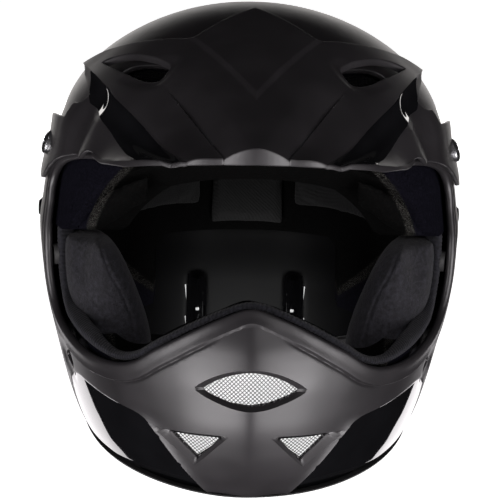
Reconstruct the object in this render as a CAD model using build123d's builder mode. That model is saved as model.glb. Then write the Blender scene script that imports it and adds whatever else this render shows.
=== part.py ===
"""Full face helmet for downhill riding: moulded shell, foam liner, lining,
tilting visor on two side screws, chin strap with a ratchet buckle.

Row frame: millimetres, +Z up, the face opening looks along -Y, the helmet
rests on its neck edge at Z = 0 and the origin is under the middle of it.
"""

import os
from math import cos, hypot, pi, radians, sin, sqrt

from build123d import *

# ---------------------------------------------------------------- dimensions
Y_SHIFT = 30.0          # widest section of the shell lies this far behind the origin
SHELL_TOP = 245.5       # height of the crown above the neck edge
WAIST_Z = 135.0         # height where the side walls start to close into the dome
WALL = 4.0              # shell wall
TRIM_T = 1.5            # neck edge trim thickness
FOAM_GAP = 0.4          # assembly gap between shell and foam

# half width of the shell by height (a factor of the dome law above WAIST_Z)
WIDTH_Z = [0, 15, 30, 50, 75, 100, 118, 135, 150, 165, 180, 195, 208, 220, 230, 246]
WIDTH_V = [97, 103.5, 108.5, 113.6, 119.3, 123, 124.4, 122.2, 120.8, 120.5, 121.8, 124.8, 126.8, 127.6, 127.6, 127.6]
# reach of the chin side (-Y) by height
FRONT_Z = [0, 15, 30, 50, 65, 80, 95, 104, 115, 125, 135]
FRONT_V = [165, 176, 184, 191, 193, 191, 184, 176, 164, 154, 147]
# reach of the back (+Y) by height
BACK_Z = [0, 20, 50, 80, 110, 135]
BACK_V = [104, 114, 126, 135, 139.5, 140]
# squareness of the front half of each horizontal section
SQUARE_Z = [0, 60, 110, 160, 250]
SQUARE_V = [1.93, 1.9, 1.95, 2.03, 2.0]
SQUARE_BACK = 2.08

# eye port edge on the shell surface, right half, (x, y, z), from the chin centre up
PORT = [(0, -175.3, 104.8), (15.5, -177.5, 101), (31, -177.8, 94.2), (48.9, -172, 83.3), (59, -164.5, 74.8),
        (71, -151, 69.6), (84, -132.6, 69.7), (95.5, -112.6, 74.9), (102.3, -99, 84), (106.3, -88, 101),
        (107.6, -78, 120), (107.6, -72, 136), (105, -74, 150), (97, -84, 161), (84, -103, 168.5), (64, -122, 172.8),
        (36, -137, 175), (0, -142.6, 176)]
PORT_APEX = (0.0, 50.0, 112.0)      # the port walls run towards this point

# head cavity in the foam: height, half width, front reach, back reach
CAVITY = [(36, 79, 99, 106), (60, 82, 101, 110), (88, 85, 102, 113), (120, 86, 103, 114), (145, 85.5, 102.5, 113),
          (165, 82.5, 100, 110), (182, 75.5, 93, 102), (197, 62.5, 79, 87), (207, 46.5, 60, 66), (213, 25, 33, 37)]
CAVITY_Y = -5.0
CAVITY_N = 2.25

# visor: pivot screws and sheet
PIVOT_Y, PIVOT_Z = -25.0, 163.0
PIVOT_X = 114.8                     # shell surface on the screw axis
PIVOT_DIR = (0.947, -0.13, 0.292)   # screws stand square to the shell
SCREW_HEAD_R, SCREW_HEAD_H = 7.0, 4.2
SCREW_R = 3.0
SCREW_SEAT = 4.3                    # underside of the screw head above the shell
TILT_Y, TILT_Z = -25.35, 163.8      # tilt axis, along X, where the screws cross the visor arms
VISOR_T = 2.6

# chin strap
STRAP_Y, STRAP_Z = 5.0, 120.0       # rivet axis, along X
STRAP_W, STRAP_T = 20.0, 1.8
RIVET_R = 6.0
RIVET_SHANK_R = 2.5


# ------------------------------------------------------------ surface helpers
def smooth(z, zs, vs):
    """Shape preserving cubic through a table."""
    h = [zs[i + 1] - zs[i] for i in range(len(zs) - 1)]
    d = [(vs[i + 1] - vs[i]) / h[i] for i in range(len(h))]
    m = [d[0]] + [0.0] * (len(zs) - 2) + [d[-1]]
    for i in range(1, len(zs) - 1):
        if d[i - 1] * d[i] > 0:
            w1, w2 = 2 * h[i] + h[i - 1], h[i] + 2 * h[i - 1]
            m[i] = (w1 + w2) / (w1 / d[i - 1] + w2 / d[i])
    z = min(max(z, zs[0]), zs[-1])
    i = 0
    while i < len(h) - 1 and z > zs[i + 1]:
        i += 1
    t = (z - zs[i]) / h[i]
    return ((2 * t**3 - 3 * t**2 + 1) * vs[i] + (t**3 - 2 * t**2 + t) * h[i] * m[i]
            + (3 * t**2 - 2 * t**3) * vs[i + 1] + (t**3 - t**2) * h[i] * m[i + 1])


def spans(z, off):
    """Half width, front and back reach of the shell surface moved inwards by off."""
    s = min(max((z - WAIST_Z) / (SHELL_TOP - off - WAIST_Z), 0.0), 1.0)
    c = sqrt(max(1 - s * s, 0.0))
    low = min(z, WAIST_Z)
    return ((smooth(z, WIDTH_Z, WIDTH_V) - off) * c, (smooth(low, FRONT_Z, FRONT_V) - off) * c,
            (smooth(low, BACK_Z, BACK_V) - off) * c)


def plan_point(z, a, off):
    """Point of the horizontal section at angle a from the front (radians)."""
    w, f, b = spans(z, off)
    n = smooth(z, SQUARE_Z, SQUARE_V) if cos(a) >= 0 else SQUARE_BACK
    reach = f if cos(a) >= 0 else b
    r = ((abs(sin(a)) / w) ** n + (abs(cos(a)) / reach) ** n) ** (-1 / n)
    return r * sin(a), -r * cos(a)


def side_x(y, z, off=0.0):
    """Half width of the shell surface at a given depth and height."""
    w, f, b = spans(z, off)
    n = smooth(z, SQUARE_Z, SQUARE_V) if y < 0 else SQUARE_BACK
    t = abs(y) / (f if y < 0 else b)
    return w * max(1 - t**n, 0.0) ** (1 / n)


def ring(z, off, count=28):
    pts = []
    for i in range(count):
        x, y = plan_point(z, 2 * pi * i / count, off)
        pts.append((x, y + Y_SHIFT))
    return pts


def cavity_ring(row, off, count=32):
    z, w, f, b = row
    pts = []
    for i in range(count):
        a = 2 * pi * i / count
        reach = (f if cos(a) >= 0 else b) - off
        r = ((abs(sin(a)) / (w - off)) ** CAVITY_N + (abs(cos(a)) / reach) ** CAVITY_N) ** (-1 / CAVITY_N)
        pts.append((r * sin(a), -r * cos(a) + CAVITY_Y + Y_SHIFT))
    return pts


LEVELS = [0.0, 14, 30, 50, 70, 88, 104, 119, 135, 152, 170, 187, 202, 215, 226, 235, 241]


def body_form(off, bottom=0.0, limit=None):
    """Solid bounded by the shell surface moved inwards by off, cut flat at limit."""
    top = SHELL_TOP - off
    if limit is None:
        levels = [bottom] + [z for z in LEVELS if z > bottom + 6 and z < top - 6]
        levels += [top - 3.0, top - 0.7]
    else:
        levels = [bottom] + [z for z in LEVELS if z > bottom + 6 and z < limit - 6] + [limit]
    with BuildPart() as form:
        for z in levels:
            with BuildSketch(Plane.XY.offset(z)):
                with BuildLine():
                    Spline(*ring(max(z, 0.0), off), periodic=True)
                make_face()
        loft()
    return form.part


def cavity_form(off, bottom=-10.0):
    """Head cavity, made smaller by off."""
    rows = [(bottom, *CAVITY[0][1:])] + [(z if z < 150 else 150 + (z - 150) * (63 - off) / 63, w, f, b)
                                         for z, w, f, b in CAVITY]
    with BuildPart() as form:
        for row in rows:
            if row[1] - off < 6:
                continue
            with BuildSketch(Plane.XY.offset(row[0])):
                with BuildLine():
                    Spline(*cavity_ring(row, off), periodic=True)
                make_face()
        loft()
    return form.part


def port_outline(y, inset=0.0):
    """The port edge thrown from the apex onto the plane at depth y, (x, z) pairs."""
    ax, ay, az = PORT_APEX
    full = PORT + [(-x, yy, z) for x, yy, z in PORT[-2:0:-1]]
    out = []
    for i, (x, yy, z) in enumerate(full):
        (x0, _, z0), (x1, _, z1) = full[i - 1], full[(i + 1) % len(full)]
        d = hypot(x1 - x0, z1 - z0)
        x, z = x - inset * (z1 - z0) / d, z + inset * (x1 - x0) / d
        k = (y - ay) / (yy - ay)
        out.append((ax + x * k, az + (z - az) * k))
    return out


def port_cone(inset=0.0, near=10.0, far=-235.0):
    with BuildPart() as cone:
        for y in (near, far):
            with BuildSketch(Plane(origin=(0, y + Y_SHIFT, 0), x_dir=(1, 0, 0), z_dir=(0, -1, 0))):
                with BuildLine():
                    Spline(*port_outline(y, inset), periodic=True)
                make_face()
        loft(ruled=True)
    return cone.part


def front_prism(points, y0, y1):
    """Prism along Y from a closed outline of (x, z) points."""
    with BuildPart() as prism:
        with BuildSketch(Plane(origin=(0, y0 + Y_SHIFT, 0), x_dir=(1, 0, 0), z_dir=(0, -1, 0))):
            Polygon(*points, align=None)
        extrude(amount=y0 - y1)
    return prism.part


def side_prism(points, half=200.0, x0=0.0):
    """Prism along X from a closed outline of (y, z) points."""
    with BuildPart() as prism:
        with BuildSketch(Plane(origin=(x0, 0, 0), x_dir=(0, 1, 0), z_dir=(1, 0, 0))):
            Polygon(*[(y + Y_SHIFT, z) for y, z in points], align=None)
        extrude(amount=half, both=(x0 == 0.0))
    return prism.part


def plan_prism(points, z0, z1):
    """Prism along Z from a closed outline of (x, y) points."""
    with BuildPart() as prism:
        with BuildSketch(Plane.XY.offset(z0)):
            Polygon(*[(x, y + Y_SHIFT) for x, y in points], align=None)
        extrude(amount=z1 - z0)
    return prism.part


def mirrored(points):
    return [(-x, *rest) for x, *rest in points]


def pivot_plane(side, along=0.0, y=PIVOT_Y, z=PIVOT_Z, x=PIVOT_X):
    n = Vector(side * PIVOT_DIR[0], PIVOT_DIR[1], PIVOT_DIR[2]).normalized()
    return Plane(origin=Vector(side * x, y + Y_SHIFT, z) + n * along, z_dir=n)


def keep(piece, label):
    piece.part.label = label
    os.makedirs("parts", exist_ok=True)
    export_step(piece.part, f"parts/{label}.step")
    print(label, round(piece.part.volume), len(piece.part.solids()))


# ---------------------------------------------------------------- vent layout
CENTRE_VENT = [(-29, 64.8), (-18, 73), (-8, 76), (0, 76.8), (8, 76), (18, 73), (29, 64.8), (18, 58.6), (8, 56.2), (0, 55.6),
               (-8, 56.2), (-18, 58.6)]
MOUTH_VENT = [(49.5, 38.3), (30, 41), (12, 41), (20, 29.5), (28.5, 19.5), (38, 28.5)]
JAW_VENT = [(-91, 56), (-72, 51), (-70, 44), (-84, 36), (-90, 42)]          # (y, z)
BROW_VENT = [(40, -93), (56, -92), (77, -76), (80, -69), (70, -68), (54, -79)]  # (x, y)
REAR_VENT = [(20, 148), (34, 158), (62, 163), (66, 156), (58, 149), (38, 143), (24, 141)]  # (x, z)


def grow(points, d):
    """Move each corner away from the middle of the outline."""
    mx = sum(p[0] for p in points) / len(points)
    my = sum(p[1] for p in points) / len(points)
    return [(mx + (px - mx) * (1 + d / hypot(px - mx, py - my)), my + (py - my) * (1 + d / hypot(px - mx, py - my)))
            for px, py in points]


def vent_cutters(d=0.0):
    cut = [front_prism(grow(CENTRE_VENT, d), -150, -215)]
    for side in (1, -1):
        mouth = [(side * x, z) for x, z in grow(MOUTH_VENT, d)]
        cut.append(front_prism(mouth, -130, -215))
        cut.append(side_prism(grow(JAW_VENT, d), half=side * 60, x0=side * 78))
        cut.append(plan_prism([(side * x, y) for x, y in grow(BROW_VENT, d)], 185, 240))
        cut.append(front_prism([(side * x, z) for x, z in grow(REAR_VENT, d)], 160, 100))
    return cut


# ======================================================================= shell
outer_form = body_form(0.0)
inner_form = body_form(WALL, bottom=-8.0)
cone = port_cone()
holes = vent_cutters()

with BuildPart() as outer_shell:
    add(outer_form)
    add(inner_form, mode=Mode.SUBTRACT)
    add(plan_prism([(-200, -260), (200, -260), (200, 200), (-200, 200)], -10, TRIM_T), mode=Mode.SUBTRACT)
    add(cone, mode=Mode.SUBTRACT)
    for hole in holes:
        add(hole, mode=Mode.SUBTRACT)
    for side in (1, -1):
        with BuildSketch(pivot_plane(side, -14)):
            Circle(5.0)
        extrude(amount=30, mode=Mode.SUBTRACT)
        with BuildSketch(Plane(origin=(side * 108, STRAP_Y + Y_SHIFT, STRAP_Z), z_dir=(side, 0, 0))):
            Circle(2.6)
        extrude(amount=30, mode=Mode.SUBTRACT)
keep(outer_shell, "outer_shell")

# neck edge trim: strip under the cut edge of the shell with a leg inside the wall
trim_inside = body_form(5.7, bottom=-8.0, limit=90.0)
with BuildPart() as trim_leg:
    add(body_form(WALL + 0.3, bottom=-8.0, limit=90.0))
    add(plan_prism([(-200, -260), (200, -260), (200, 200), (-200, 200)], 12, 100), mode=Mode.SUBTRACT)
    add(plan_prism([(-200, -260), (200, -260), (200, 200), (-200, 200)], -20, 0), mode=Mode.SUBTRACT)
leg_form = trim_leg.part
with BuildPart() as neck_edge_trim:
    add(outer_form)
    add(plan_prism([(-200, -260), (200, -260), (200, 200), (-200, 200)], TRIM_T, 260), mode=Mode.SUBTRACT)
    add(leg_form)
    add(trim_inside, mode=Mode.SUBTRACT)
keep(neck_edge_trim, "neck_edge_trim")

# ===================================================================== meshes
MESH_SLOTS = [("centre_vent_mesh", 0), ("mouth_vent_mesh_right", 1), ("jaw_vent_mesh_right", 2), ("brow_vent_mesh_right", 3),
              ("rear_vent_mesh_right", 4), ("mouth_vent_mesh_left", 5), ("jaw_vent_mesh_left", 6),
              ("brow_vent_mesh_left", 7), ("rear_vent_mesh_left", 8)]
mesh_outer = body_form(WALL + 0.15, bottom=-8.0)
mesh_inner = body_form(WALL + 1.35, bottom=-8.0)
wide = vent_cutters(3.5)
for label, index in MESH_SLOTS:
    with BuildPart() as mesh_plate:
        add(wide[index])
        add(mesh_outer, mode=Mode.INTERSECT)
        add(mesh_inner, mode=Mode.SUBTRACT)
        if index == 0:
            # the flange stops short of the port edge
            add(plan_prism([(-60, -230), (60, -230), (60, -100), (-60, -100)], 82, 130), mode=Mode.SUBTRACT)
    keep(mesh_plate, label)

# ================================================================ foam liner
cavity = cavity_form(0.0)
with BuildPart() as eps_liner:
    add(body_form(WALL + FOAM_GAP + 1.4, bottom=20.0))
    add(cavity, mode=Mode.SUBTRACT)
    # front and lower edge, seen from the side
    add(side_prism([(-220, 178), (-143, 177), (-126, 171), (-96, 152), (-74, 125), (-66, 121), (-28, 121), (-26, 45),
                    (160, 45), (160, -20), (-220, -20)]), mode=Mode.SUBTRACT)
    # window at the back, under the occiput
    add(front_prism([(-60, 0), (60, 0), (60, 80), (54, 88), (-54, 88), (-60, 80)], 180, 50), mode=Mode.SUBTRACT)
    # pockets for the strap between foam and shell
    for side in (1, -1):
        pocket = [(107, 140), (107, 92), (101, 74), (92, 60), (78, 50), (60, 44), (60, 0), (140, 0), (140, 140)]
        add(front_prism([(side * x, z) for x, z in pocket], 44, -26), mode=Mode.SUBTRACT)
        # room for the screw inserts
        with BuildSketch(pivot_plane(side, -18)):
            Circle(12)
        extrude(amount=30, mode=Mode.SUBTRACT)
keep(eps_liner, "eps_liner")

# chin bar foam, between the shell and the mouth, open behind the vents
with BuildPart() as chin_bar_foam:
    add(body_form(WALL + 1.8, bottom=14.0, limit=112.0))
    add(body_form(21.0, bottom=-8.0, limit=130.0), mode=Mode.SUBTRACT)
    add(plan_prism([(-200, -111), (200, -111), (200, 200), (-200, 200)], 0, 200), mode=Mode.SUBTRACT)
    add(port_cone(-2.2), mode=Mode.SUBTRACT)
    for index in (0, 1, 5):
        add(wide[index], mode=Mode.SUBTRACT)
keep(chin_bar_foam, "chin_bar_foam")

# fabric roll that lines the edge of the eye port from temple to temple
with BuildPart() as port_edge_roll:
    add(body_form(WALL + 0.5, bottom=40.0, limit=120.0))
    add(body_form(15.0, bottom=-8.0, limit=150.0), mode=Mode.SUBTRACT)
    add(port_cone(-1.6), mode=Mode.INTERSECT)
    add(port_cone(4.0), mode=Mode.SUBTRACT)
keep(port_edge_roll, "port_edge_roll")

# ================================================================ cheek pads
# height, then inner and outer half widths at the front, middle and back
CHEEK = [(42, 58, 88, 56, 97, 66, 96), (58, 53, 90, 52, 101, 66, 101), (80, 58, 92, 58, 104, 69, 106),
         (100, 67, 94, 66, 107, 76, 109), (119, 82, 94, 77, 106, 84, 108)]
CHEEK_FRONT, CHEEK_BACK = -96.0, -32.0
pad_limit = body_form(WALL + 4.0, bottom=20.0, limit=140.0)
with BuildPart() as room:
    add(port_cone(-2.4))
    add(body_form(15.8, bottom=20.0, limit=150.0), mode=Mode.SUBTRACT)
roll_room = room.part
for side, label in ((1, "cheek_pad_right"), (-1, "cheek_pad_left")):
    with BuildPart() as cheek_pad:
        for z, xi_f, xo_f, xi_m, xo_m, xi_b, xo_b in CHEEK:
            ym = (CHEEK_FRONT + CHEEK_BACK) / 2 - 4
            yf = CHEEK_FRONT + (8 if z < 50 else 0) + (4 if z > 110 else 0)
            wf, wb = xo_f - xi_f, xo_b - xi_b
            pts = [(xi_f + 0.22 * wf, yf + 1.5), (xi_f + 0.55 * wf, yf - 1), (xo_f - 0.12 * wf, yf + 3), (xo_m - 1, ym),
                   (xo_b, CHEEK_BACK - 9), (xo_b - 0.2 * wb, CHEEK_BACK), (xi_b + 0.2 * wb, CHEEK_BACK),
                   (xi_b, CHEEK_BACK - 8), (xi_m, ym)]
            pts = [(side * x, y + Y_SHIFT) for x, y in pts]
            with BuildSketch(Plane.XY.offset(z)):
                with BuildLine():
                    Spline(*pts, periodic=True)
                make_face()
        loft()
        add(pad_limit, mode=Mode.INTERSECT)
        add(roll_room, mode=Mode.SUBTRACT)
    keep(cheek_pad, label)

# ============================================================== temple pads
temple_outer = body_form(WALL + 1.0, bottom=90.0, limit=200.0)
temple_inner = body_form(22.0, bottom=80.0, limit=210.0)
for side, label in ((1, "temple_pad_right"), (-1, "temple_pad_left")):
    with BuildPart() as temple_pad:
        add(side_prism([(-136, 169.5), (-127, 169.8), (-97.5, 151), (-74, 124), (-84, 121.5), (-96, 131), (-108, 147)],
                       half=side * 80, x0=side * 52))
        add(temple_outer, mode=Mode.INTERSECT)
        add(temple_inner, mode=Mode.SUBTRACT)
    keep(temple_pad, label)

# =========================================================== comfort lining
lining_outer = cavity_form(0.4)
lining_inner = cavity_form(7.0)
LINING = [
    ("crown_pad", plan_prism([(-25, -66), (25, -66), (25, 120), (-25, 120)], 92, 230)),
    ("brow_pad", plan_prism([(-62, -130), (62, -130), (62, -70), (-62, -70)], 174, 196)),
    ("side_pad_right", plan_prism([(29, -60), (110, -60), (110, 18), (29, 18)], 150, 230)),
    ("side_pad_left", plan_prism([(-29, -60), (-110, -60), (-110, 18), (-29, 18)], 150, 230)),
    ("nape_pad_right", plan_prism([(29, 24), (110, 24), (110, 130), (29, 130)], 106, 200)),
    ("nape_pad_left", plan_prism([(-29, 24), (-110, 24), (-110, 130), (-29, 130)], 106, 200)),
]
for label, region in LINING:
    with BuildPart() as lining_pad:
        add(region)
        add(lining_outer, mode=Mode.INTERSECT)
        add(lining_inner, mode=Mode.SUBTRACT)
    keep(lining_pad, label)

# ============================================================ visor fastening
for side, end in ((1, "right"), (-1, "left")):
    # threaded insert, its flange inside the shell
    with BuildPart() as insert:
        with BuildSketch(pivot_plane(side, -WALL - 2.7)):
            Circle(9.5)
        extrude(amount=2.2)
        with BuildSketch(pivot_plane(side, -WALL - 2.7)):
            Circle(4.7)
        extrude(amount=6.1)
        with BuildSketch(pivot_plane(side, -WALL - 6.0)):
            Circle(SCREW_R + 0.05)
        extrude(amount=14, mode=Mode.SUBTRACT)
    keep(insert, f"visor_insert_{end}")
    # spacer ring between shell and visor arm
    with BuildPart() as spacer:
        with BuildSketch(pivot_plane(side, 0.2)):
            Circle(7.5)
            Circle(4.9, mode=Mode.SUBTRACT)
        extrude(amount=0.9)
    keep(spacer, f"visor_spacer_{end}")
    # screw: low domed head with a cross recess
    with BuildPart() as screw:
        with BuildSketch(pivot_plane(side, -6.5)):
            Circle(SCREW_R)
        extrude(amount=12.0)
        with BuildSketch(pivot_plane(side, SCREW_SEAT)):
            Circle(SCREW_HEAD_R)
        extrude(amount=SCREW_HEAD_H)
        top_edge = screw.edges().filter_by(GeomType.CIRCLE).group_by(SortBy.RADIUS)[-1].sort_by(Axis.X)[-1 if side > 0 else 0]
        chamfer(top_edge, 2.0, 2.6)
        with BuildSketch(pivot_plane(side, SCREW_SEAT + SCREW_HEAD_H)):
            Rectangle(6.4, 1.5)
            Rectangle(1.5, 6.4)
        extrude(amount=-2.0, mode=Mode.SUBTRACT)
    keep(screw, f"visor_screw_{end}")

# ====================================================================== visor
# stations along Y: centre height, ridge (x, z), lower edge (x, z)
VISOR = [
    (6, 251.0, 104, 209, None, 140.0),
    (-12, 250.0, 100, 210.5, None, 139.0),
    (-30, 248.8, 97.5, 211, None, 143.0),
    (-50, 245.8, 92, 210, None, 155.0),
    (-70, 240.6, 86.5, 208, None, 163.5),
    (-90, 233.9, 80, 205, 96.5, 167.5),
    (-110, 226.8, 73, 201, 91.0, 167.5),
    (-130, 219.2, 64, 196, 82.5, 168.5),
    (-150, 211.0, 54.5, 190.5, 76.0, 170.5),
    (-168, 203.2, 46, 187.0, 68.0, 174.0),
    (-184, 196.2, 38, 185.6, 58.0, 177.0),
    (-206, 186.9, 30, 183.0, 50.0, 178.5),
]


def arm_x(y, z):
    """Outer face of the visor arm, standing off the shell and less curved than it."""
    lift = 3.3 + 3.2 * min(max((z - 146) / 34, 0.0), 1.6) + 0.8 * min(max((-52 - y) / 20, 0.0), 1.0)
    return side_x(y, z) + lift


def visor_half(row):
    """Outer profile from the centre to the lower edge, (x, z) pairs."""
    y, zc, xr, zr, xl, zl = row
    pts = []
    for t in (0.0, 0.2, 0.4, 0.6, 0.8, 0.93):
        pts.append((xr * t, zc - (zc - zr) * (0.62 * t**1.9 + 0.38 * t**3)))
    for t in (0.06, 0.3, 0.55, 0.8, 1.0):
        z = zr + (zl - zr) * t
        if xl is None:
            x = arm_x(y, z)
            if t < 0.2:
                x = 0.5 * x + 0.5 * (xr + 1.5)
        else:
            x = xr + (xl - xr) * (t ** 0.8)
        pts.append((x, z))
    return pts


def visor_ring(row, off):
    """Section of the sheet; the front edge is turned down, most at its middle."""
    half = visor_half(row)
    pts = [(-x, z) for x, z in reversed(half[1:])] + half
    if off == 0:
        return pts
    rim = max((-180 - row[0]) / 20, 0.0)
    out = []
    for i, (x, z) in enumerate(pts):
        x0, z0 = pts[max(i - 1, 0)]
        x1, z1 = pts[min(i + 1, len(pts) - 1)]
        dx, dz = x1 - x0, z1 - z0
        d = hypot(dx, dz)
        t = off + rim * 4.6 * max(1 - (x / 62) ** 2, 0.0)
        out.append((x + off * dz / d, z - t * dx / d))
    return out


with BuildPart() as visor:
    for row in VISOR:
        thick = VISOR_T
        outer_line = visor_ring(row, 0.0)
        inner_line = visor_ring(row, thick)
        with BuildSketch(Plane(origin=(0, row[0] + Y_SHIFT, 0), x_dir=(1, 0, 0), z_dir=(0, -1, 0))):
            with BuildLine():
                Spline(*outer_line)
                Line(outer_line[-1], inner_line[-1])
                Spline(*inner_line[::-1])
                Line(inner_line[0], outer_line[0])
            make_face()
    loft()
    # rear edge of the sheet, seen from above
    add(plan_prism([(0, -55), (33.5, -79), (67, -60), (97, -34), (140, -34), (140, 80), (-140, 80), (-140, -34),
                    (-97, -34), (-67, -60), (-33.5, -79)], 207, 270), mode=Mode.SUBTRACT)
    # neck, horn, notch and arm end, seen from the side
    add(side_prism([(-34, 212), (-40, 205), (-58, 199), (-70, 196.5), (-60, 191.5), (-50, 190.5), (-45, 189), (-37, 181),
                    (-30, 180), (-14, 179.5), (-9, 174), (-7, 163), (-9, 154), (-17, 147), (-27, 144.2), (-34, 145.5),
                    (-50, 155), (-62, 161.5), (-70, 130), (-20, 90), (60, 90), (60, 212)]), mode=Mode.SUBTRACT)
    # front and side edges, seen from above
    LIP = [(0, -200), (27, -196.5), (48, -186), (60, -171), (69.5, -153), (79, -128), (87, -106), (93.5, -90)]
    add(plan_prism([(-140, -90), (-140, -240), (140, -240), (140, -90)] + LIP[::-1] + mirrored(LIP[1:]), 120, 260),
        mode=Mode.SUBTRACT)
    # air vents
    for side in (1, -1):
        add(plan_prism([(side * x, y) for x, y in [(86, -72), (66, -67), (47, -84), (58, -98)]], 195, 260),
            mode=Mode.SUBTRACT)
        # flat boss inside the arm and seat of the screw head, square to the screw
        with BuildSketch(pivot_plane(side, 1.6)):
            Circle(9.0)
        extrude(amount=1.9)
        with BuildSketch(pivot_plane(side, SCREW_SEAT - 0.45)):
            Circle(SCREW_HEAD_R + 0.6)
        extrude(amount=9.0, mode=Mode.SUBTRACT)
        # bearing hole, round about the tilt axis
        with BuildSketch(Plane(origin=(side * 100, TILT_Y + Y_SHIFT, TILT_Z), z_dir=(side, 0, 0))):
            Circle(SCREW_R + 0.8)
        extrude(amount=40, mode=Mode.SUBTRACT)
keep(visor, "visor")

# ================================================================ chin strap
# middle line of the webbing in the vertical plane through the rivets, (x, z),
# right half from the anchor down to the middle; the left half mirrors it
STRAP_PATH = [(116.2, 131.0), (116.2, 112.0), (112.6, 86.0), (106.0, 66.0), (95.0, 50.5), (80.0, 40.0), (62.0, 34.0),
              (40.0, 31.5), (0.0, 31.0)]
BUCKLE_X = -50.0        # middle of the buckle


def strap_band(points, width, thick, label, lift=0.0):
    """Flat band of the given width (along Y) and thickness following (x, z) points."""
    top, low = [], []
    for i, (x, z) in enumerate(points):
        x0, z0 = points[max(i - 1, 0)]
        x1, z1 = points[min(i + 1, len(points) - 1)]
        d = hypot(x1 - x0, z1 - z0)
        nx, nz = -(z1 - z0) / d, (x1 - x0) / d
        top.append((x + nx * (lift + thick / 2), z + nz * (lift + thick / 2)))
        low.append((x + nx * (lift - thick / 2), z + nz * (lift - thick / 2)))
    with BuildPart() as band:
        with BuildSketch(Plane(origin=(0, STRAP_Y + Y_SHIFT + width / 2, 0), x_dir=(1, 0, 0), z_dir=(0, -1, 0))):
            with BuildLine():
                Spline(*top)
                Line(top[-1], low[-1])
                Spline(*low[::-1])
                Line(low[0], top[0])
            make_face()
        extrude(amount=width)
    return band


right_run = STRAP_PATH + [(-16.0, 31.2)]
left_run = [(-x, z) for x, z in STRAP_PATH[:6]] + [(-73.0, 36.5), (-66.3, 35.4)]
for label, run in (("strap_right", right_run), ("strap_left", left_run)):
    webbing = strap_band(run, STRAP_W, STRAP_T, label)
    side = 1 if label.endswith("right") else -1
    with BuildPart() as strap:
        add(webbing.part)
        with BuildSketch(Plane(origin=(side * 100, STRAP_Y + Y_SHIFT, STRAP_Z), z_dir=(side, 0, 0))):
            Circle(RIVET_SHANK_R + 0.06)
        extrude(amount=30, mode=Mode.SUBTRACT)
    keep(strap, label)

# padded sleeve under the chin
with BuildPart() as chin_strap_pad:
    upper = strap_band([(66, 35.2), (50, 32.6), (34, 31.4), (16, 31.1), (2, 31.0)], 30.0, 3.0, "upper", lift=-3.05)
    add(upper.part)
    lower = strap_band([(66, 35.2), (50, 32.6), (34, 31.4), (16, 31.1), (2, 31.0)], 30.0, 1.6, "lower", lift=2.4)
    add(lower.part)
    for y in (STRAP_Y - 15, STRAP_Y + 10.6):
        edge = [(66, 40.8), (50, 38.2), (34, 36.2), (2, 35.6), (2, 28.2), (34, 28.4), (50, 29.6), (66, 32.2)]
        with BuildSketch(Plane(origin=(0, y + Y_SHIFT + 4.4, 0), x_dir=(1, 0, 0), z_dir=(0, -1, 0))):
            Polygon(*edge, align=None)
        extrude(amount=4.4)
keep(chin_strap_pad, "chin_strap_pad")

# anchor plates on the strap ends and rivets through the shell
with BuildPart() as strap_anchor_plates:
    for side in (1, -1):
        with BuildSketch(Plane(origin=(side * 114.0, STRAP_Y + Y_SHIFT, STRAP_Z), z_dir=(side, 0, 0))):
            Circle(8.0)
            Circle(RIVET_SHANK_R + 0.06, mode=Mode.SUBTRACT)
        extrude(amount=1.1)
keep(strap_anchor_plates, "strap_anchor_plates")

with BuildPart() as strap_rivets:
    for side in (1, -1):
        with BuildSketch(Plane(origin=(side * 112.0, STRAP_Y + Y_SHIFT, STRAP_Z), z_dir=(side, 0, 0))):
            Circle(4.4)
        extrude(amount=1.8)
        with BuildSketch(Plane(origin=(side * 113.0, STRAP_Y + Y_SHIFT, STRAP_Z), z_dir=(side, 0, 0))):
            Circle(RIVET_SHANK_R)
        extrude(amount=12.5)
        with BuildSketch(Plane(origin=(side * 124.55, STRAP_Y + Y_SHIFT, STRAP_Z), z_dir=(side, 0, 0))):
            Circle(RIVET_R)
        extrude(amount=1.9, taper=42)
keep(strap_rivets, "strap_rivets")

# washers between strap and shell on the rivets
with BuildPart() as strap_washers:
    for side in (1, -1):
        with BuildSketch(Plane(origin=(side * 117.8, STRAP_Y + Y_SHIFT, STRAP_Z), z_dir=(side, 0, 0))):
            Circle(7.0)
            Circle(RIVET_SHANK_R + 0.05, mode=Mode.SUBTRACT)
        extrude(amount=1.6)
keep(strap_washers, "strap_washers")

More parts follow.
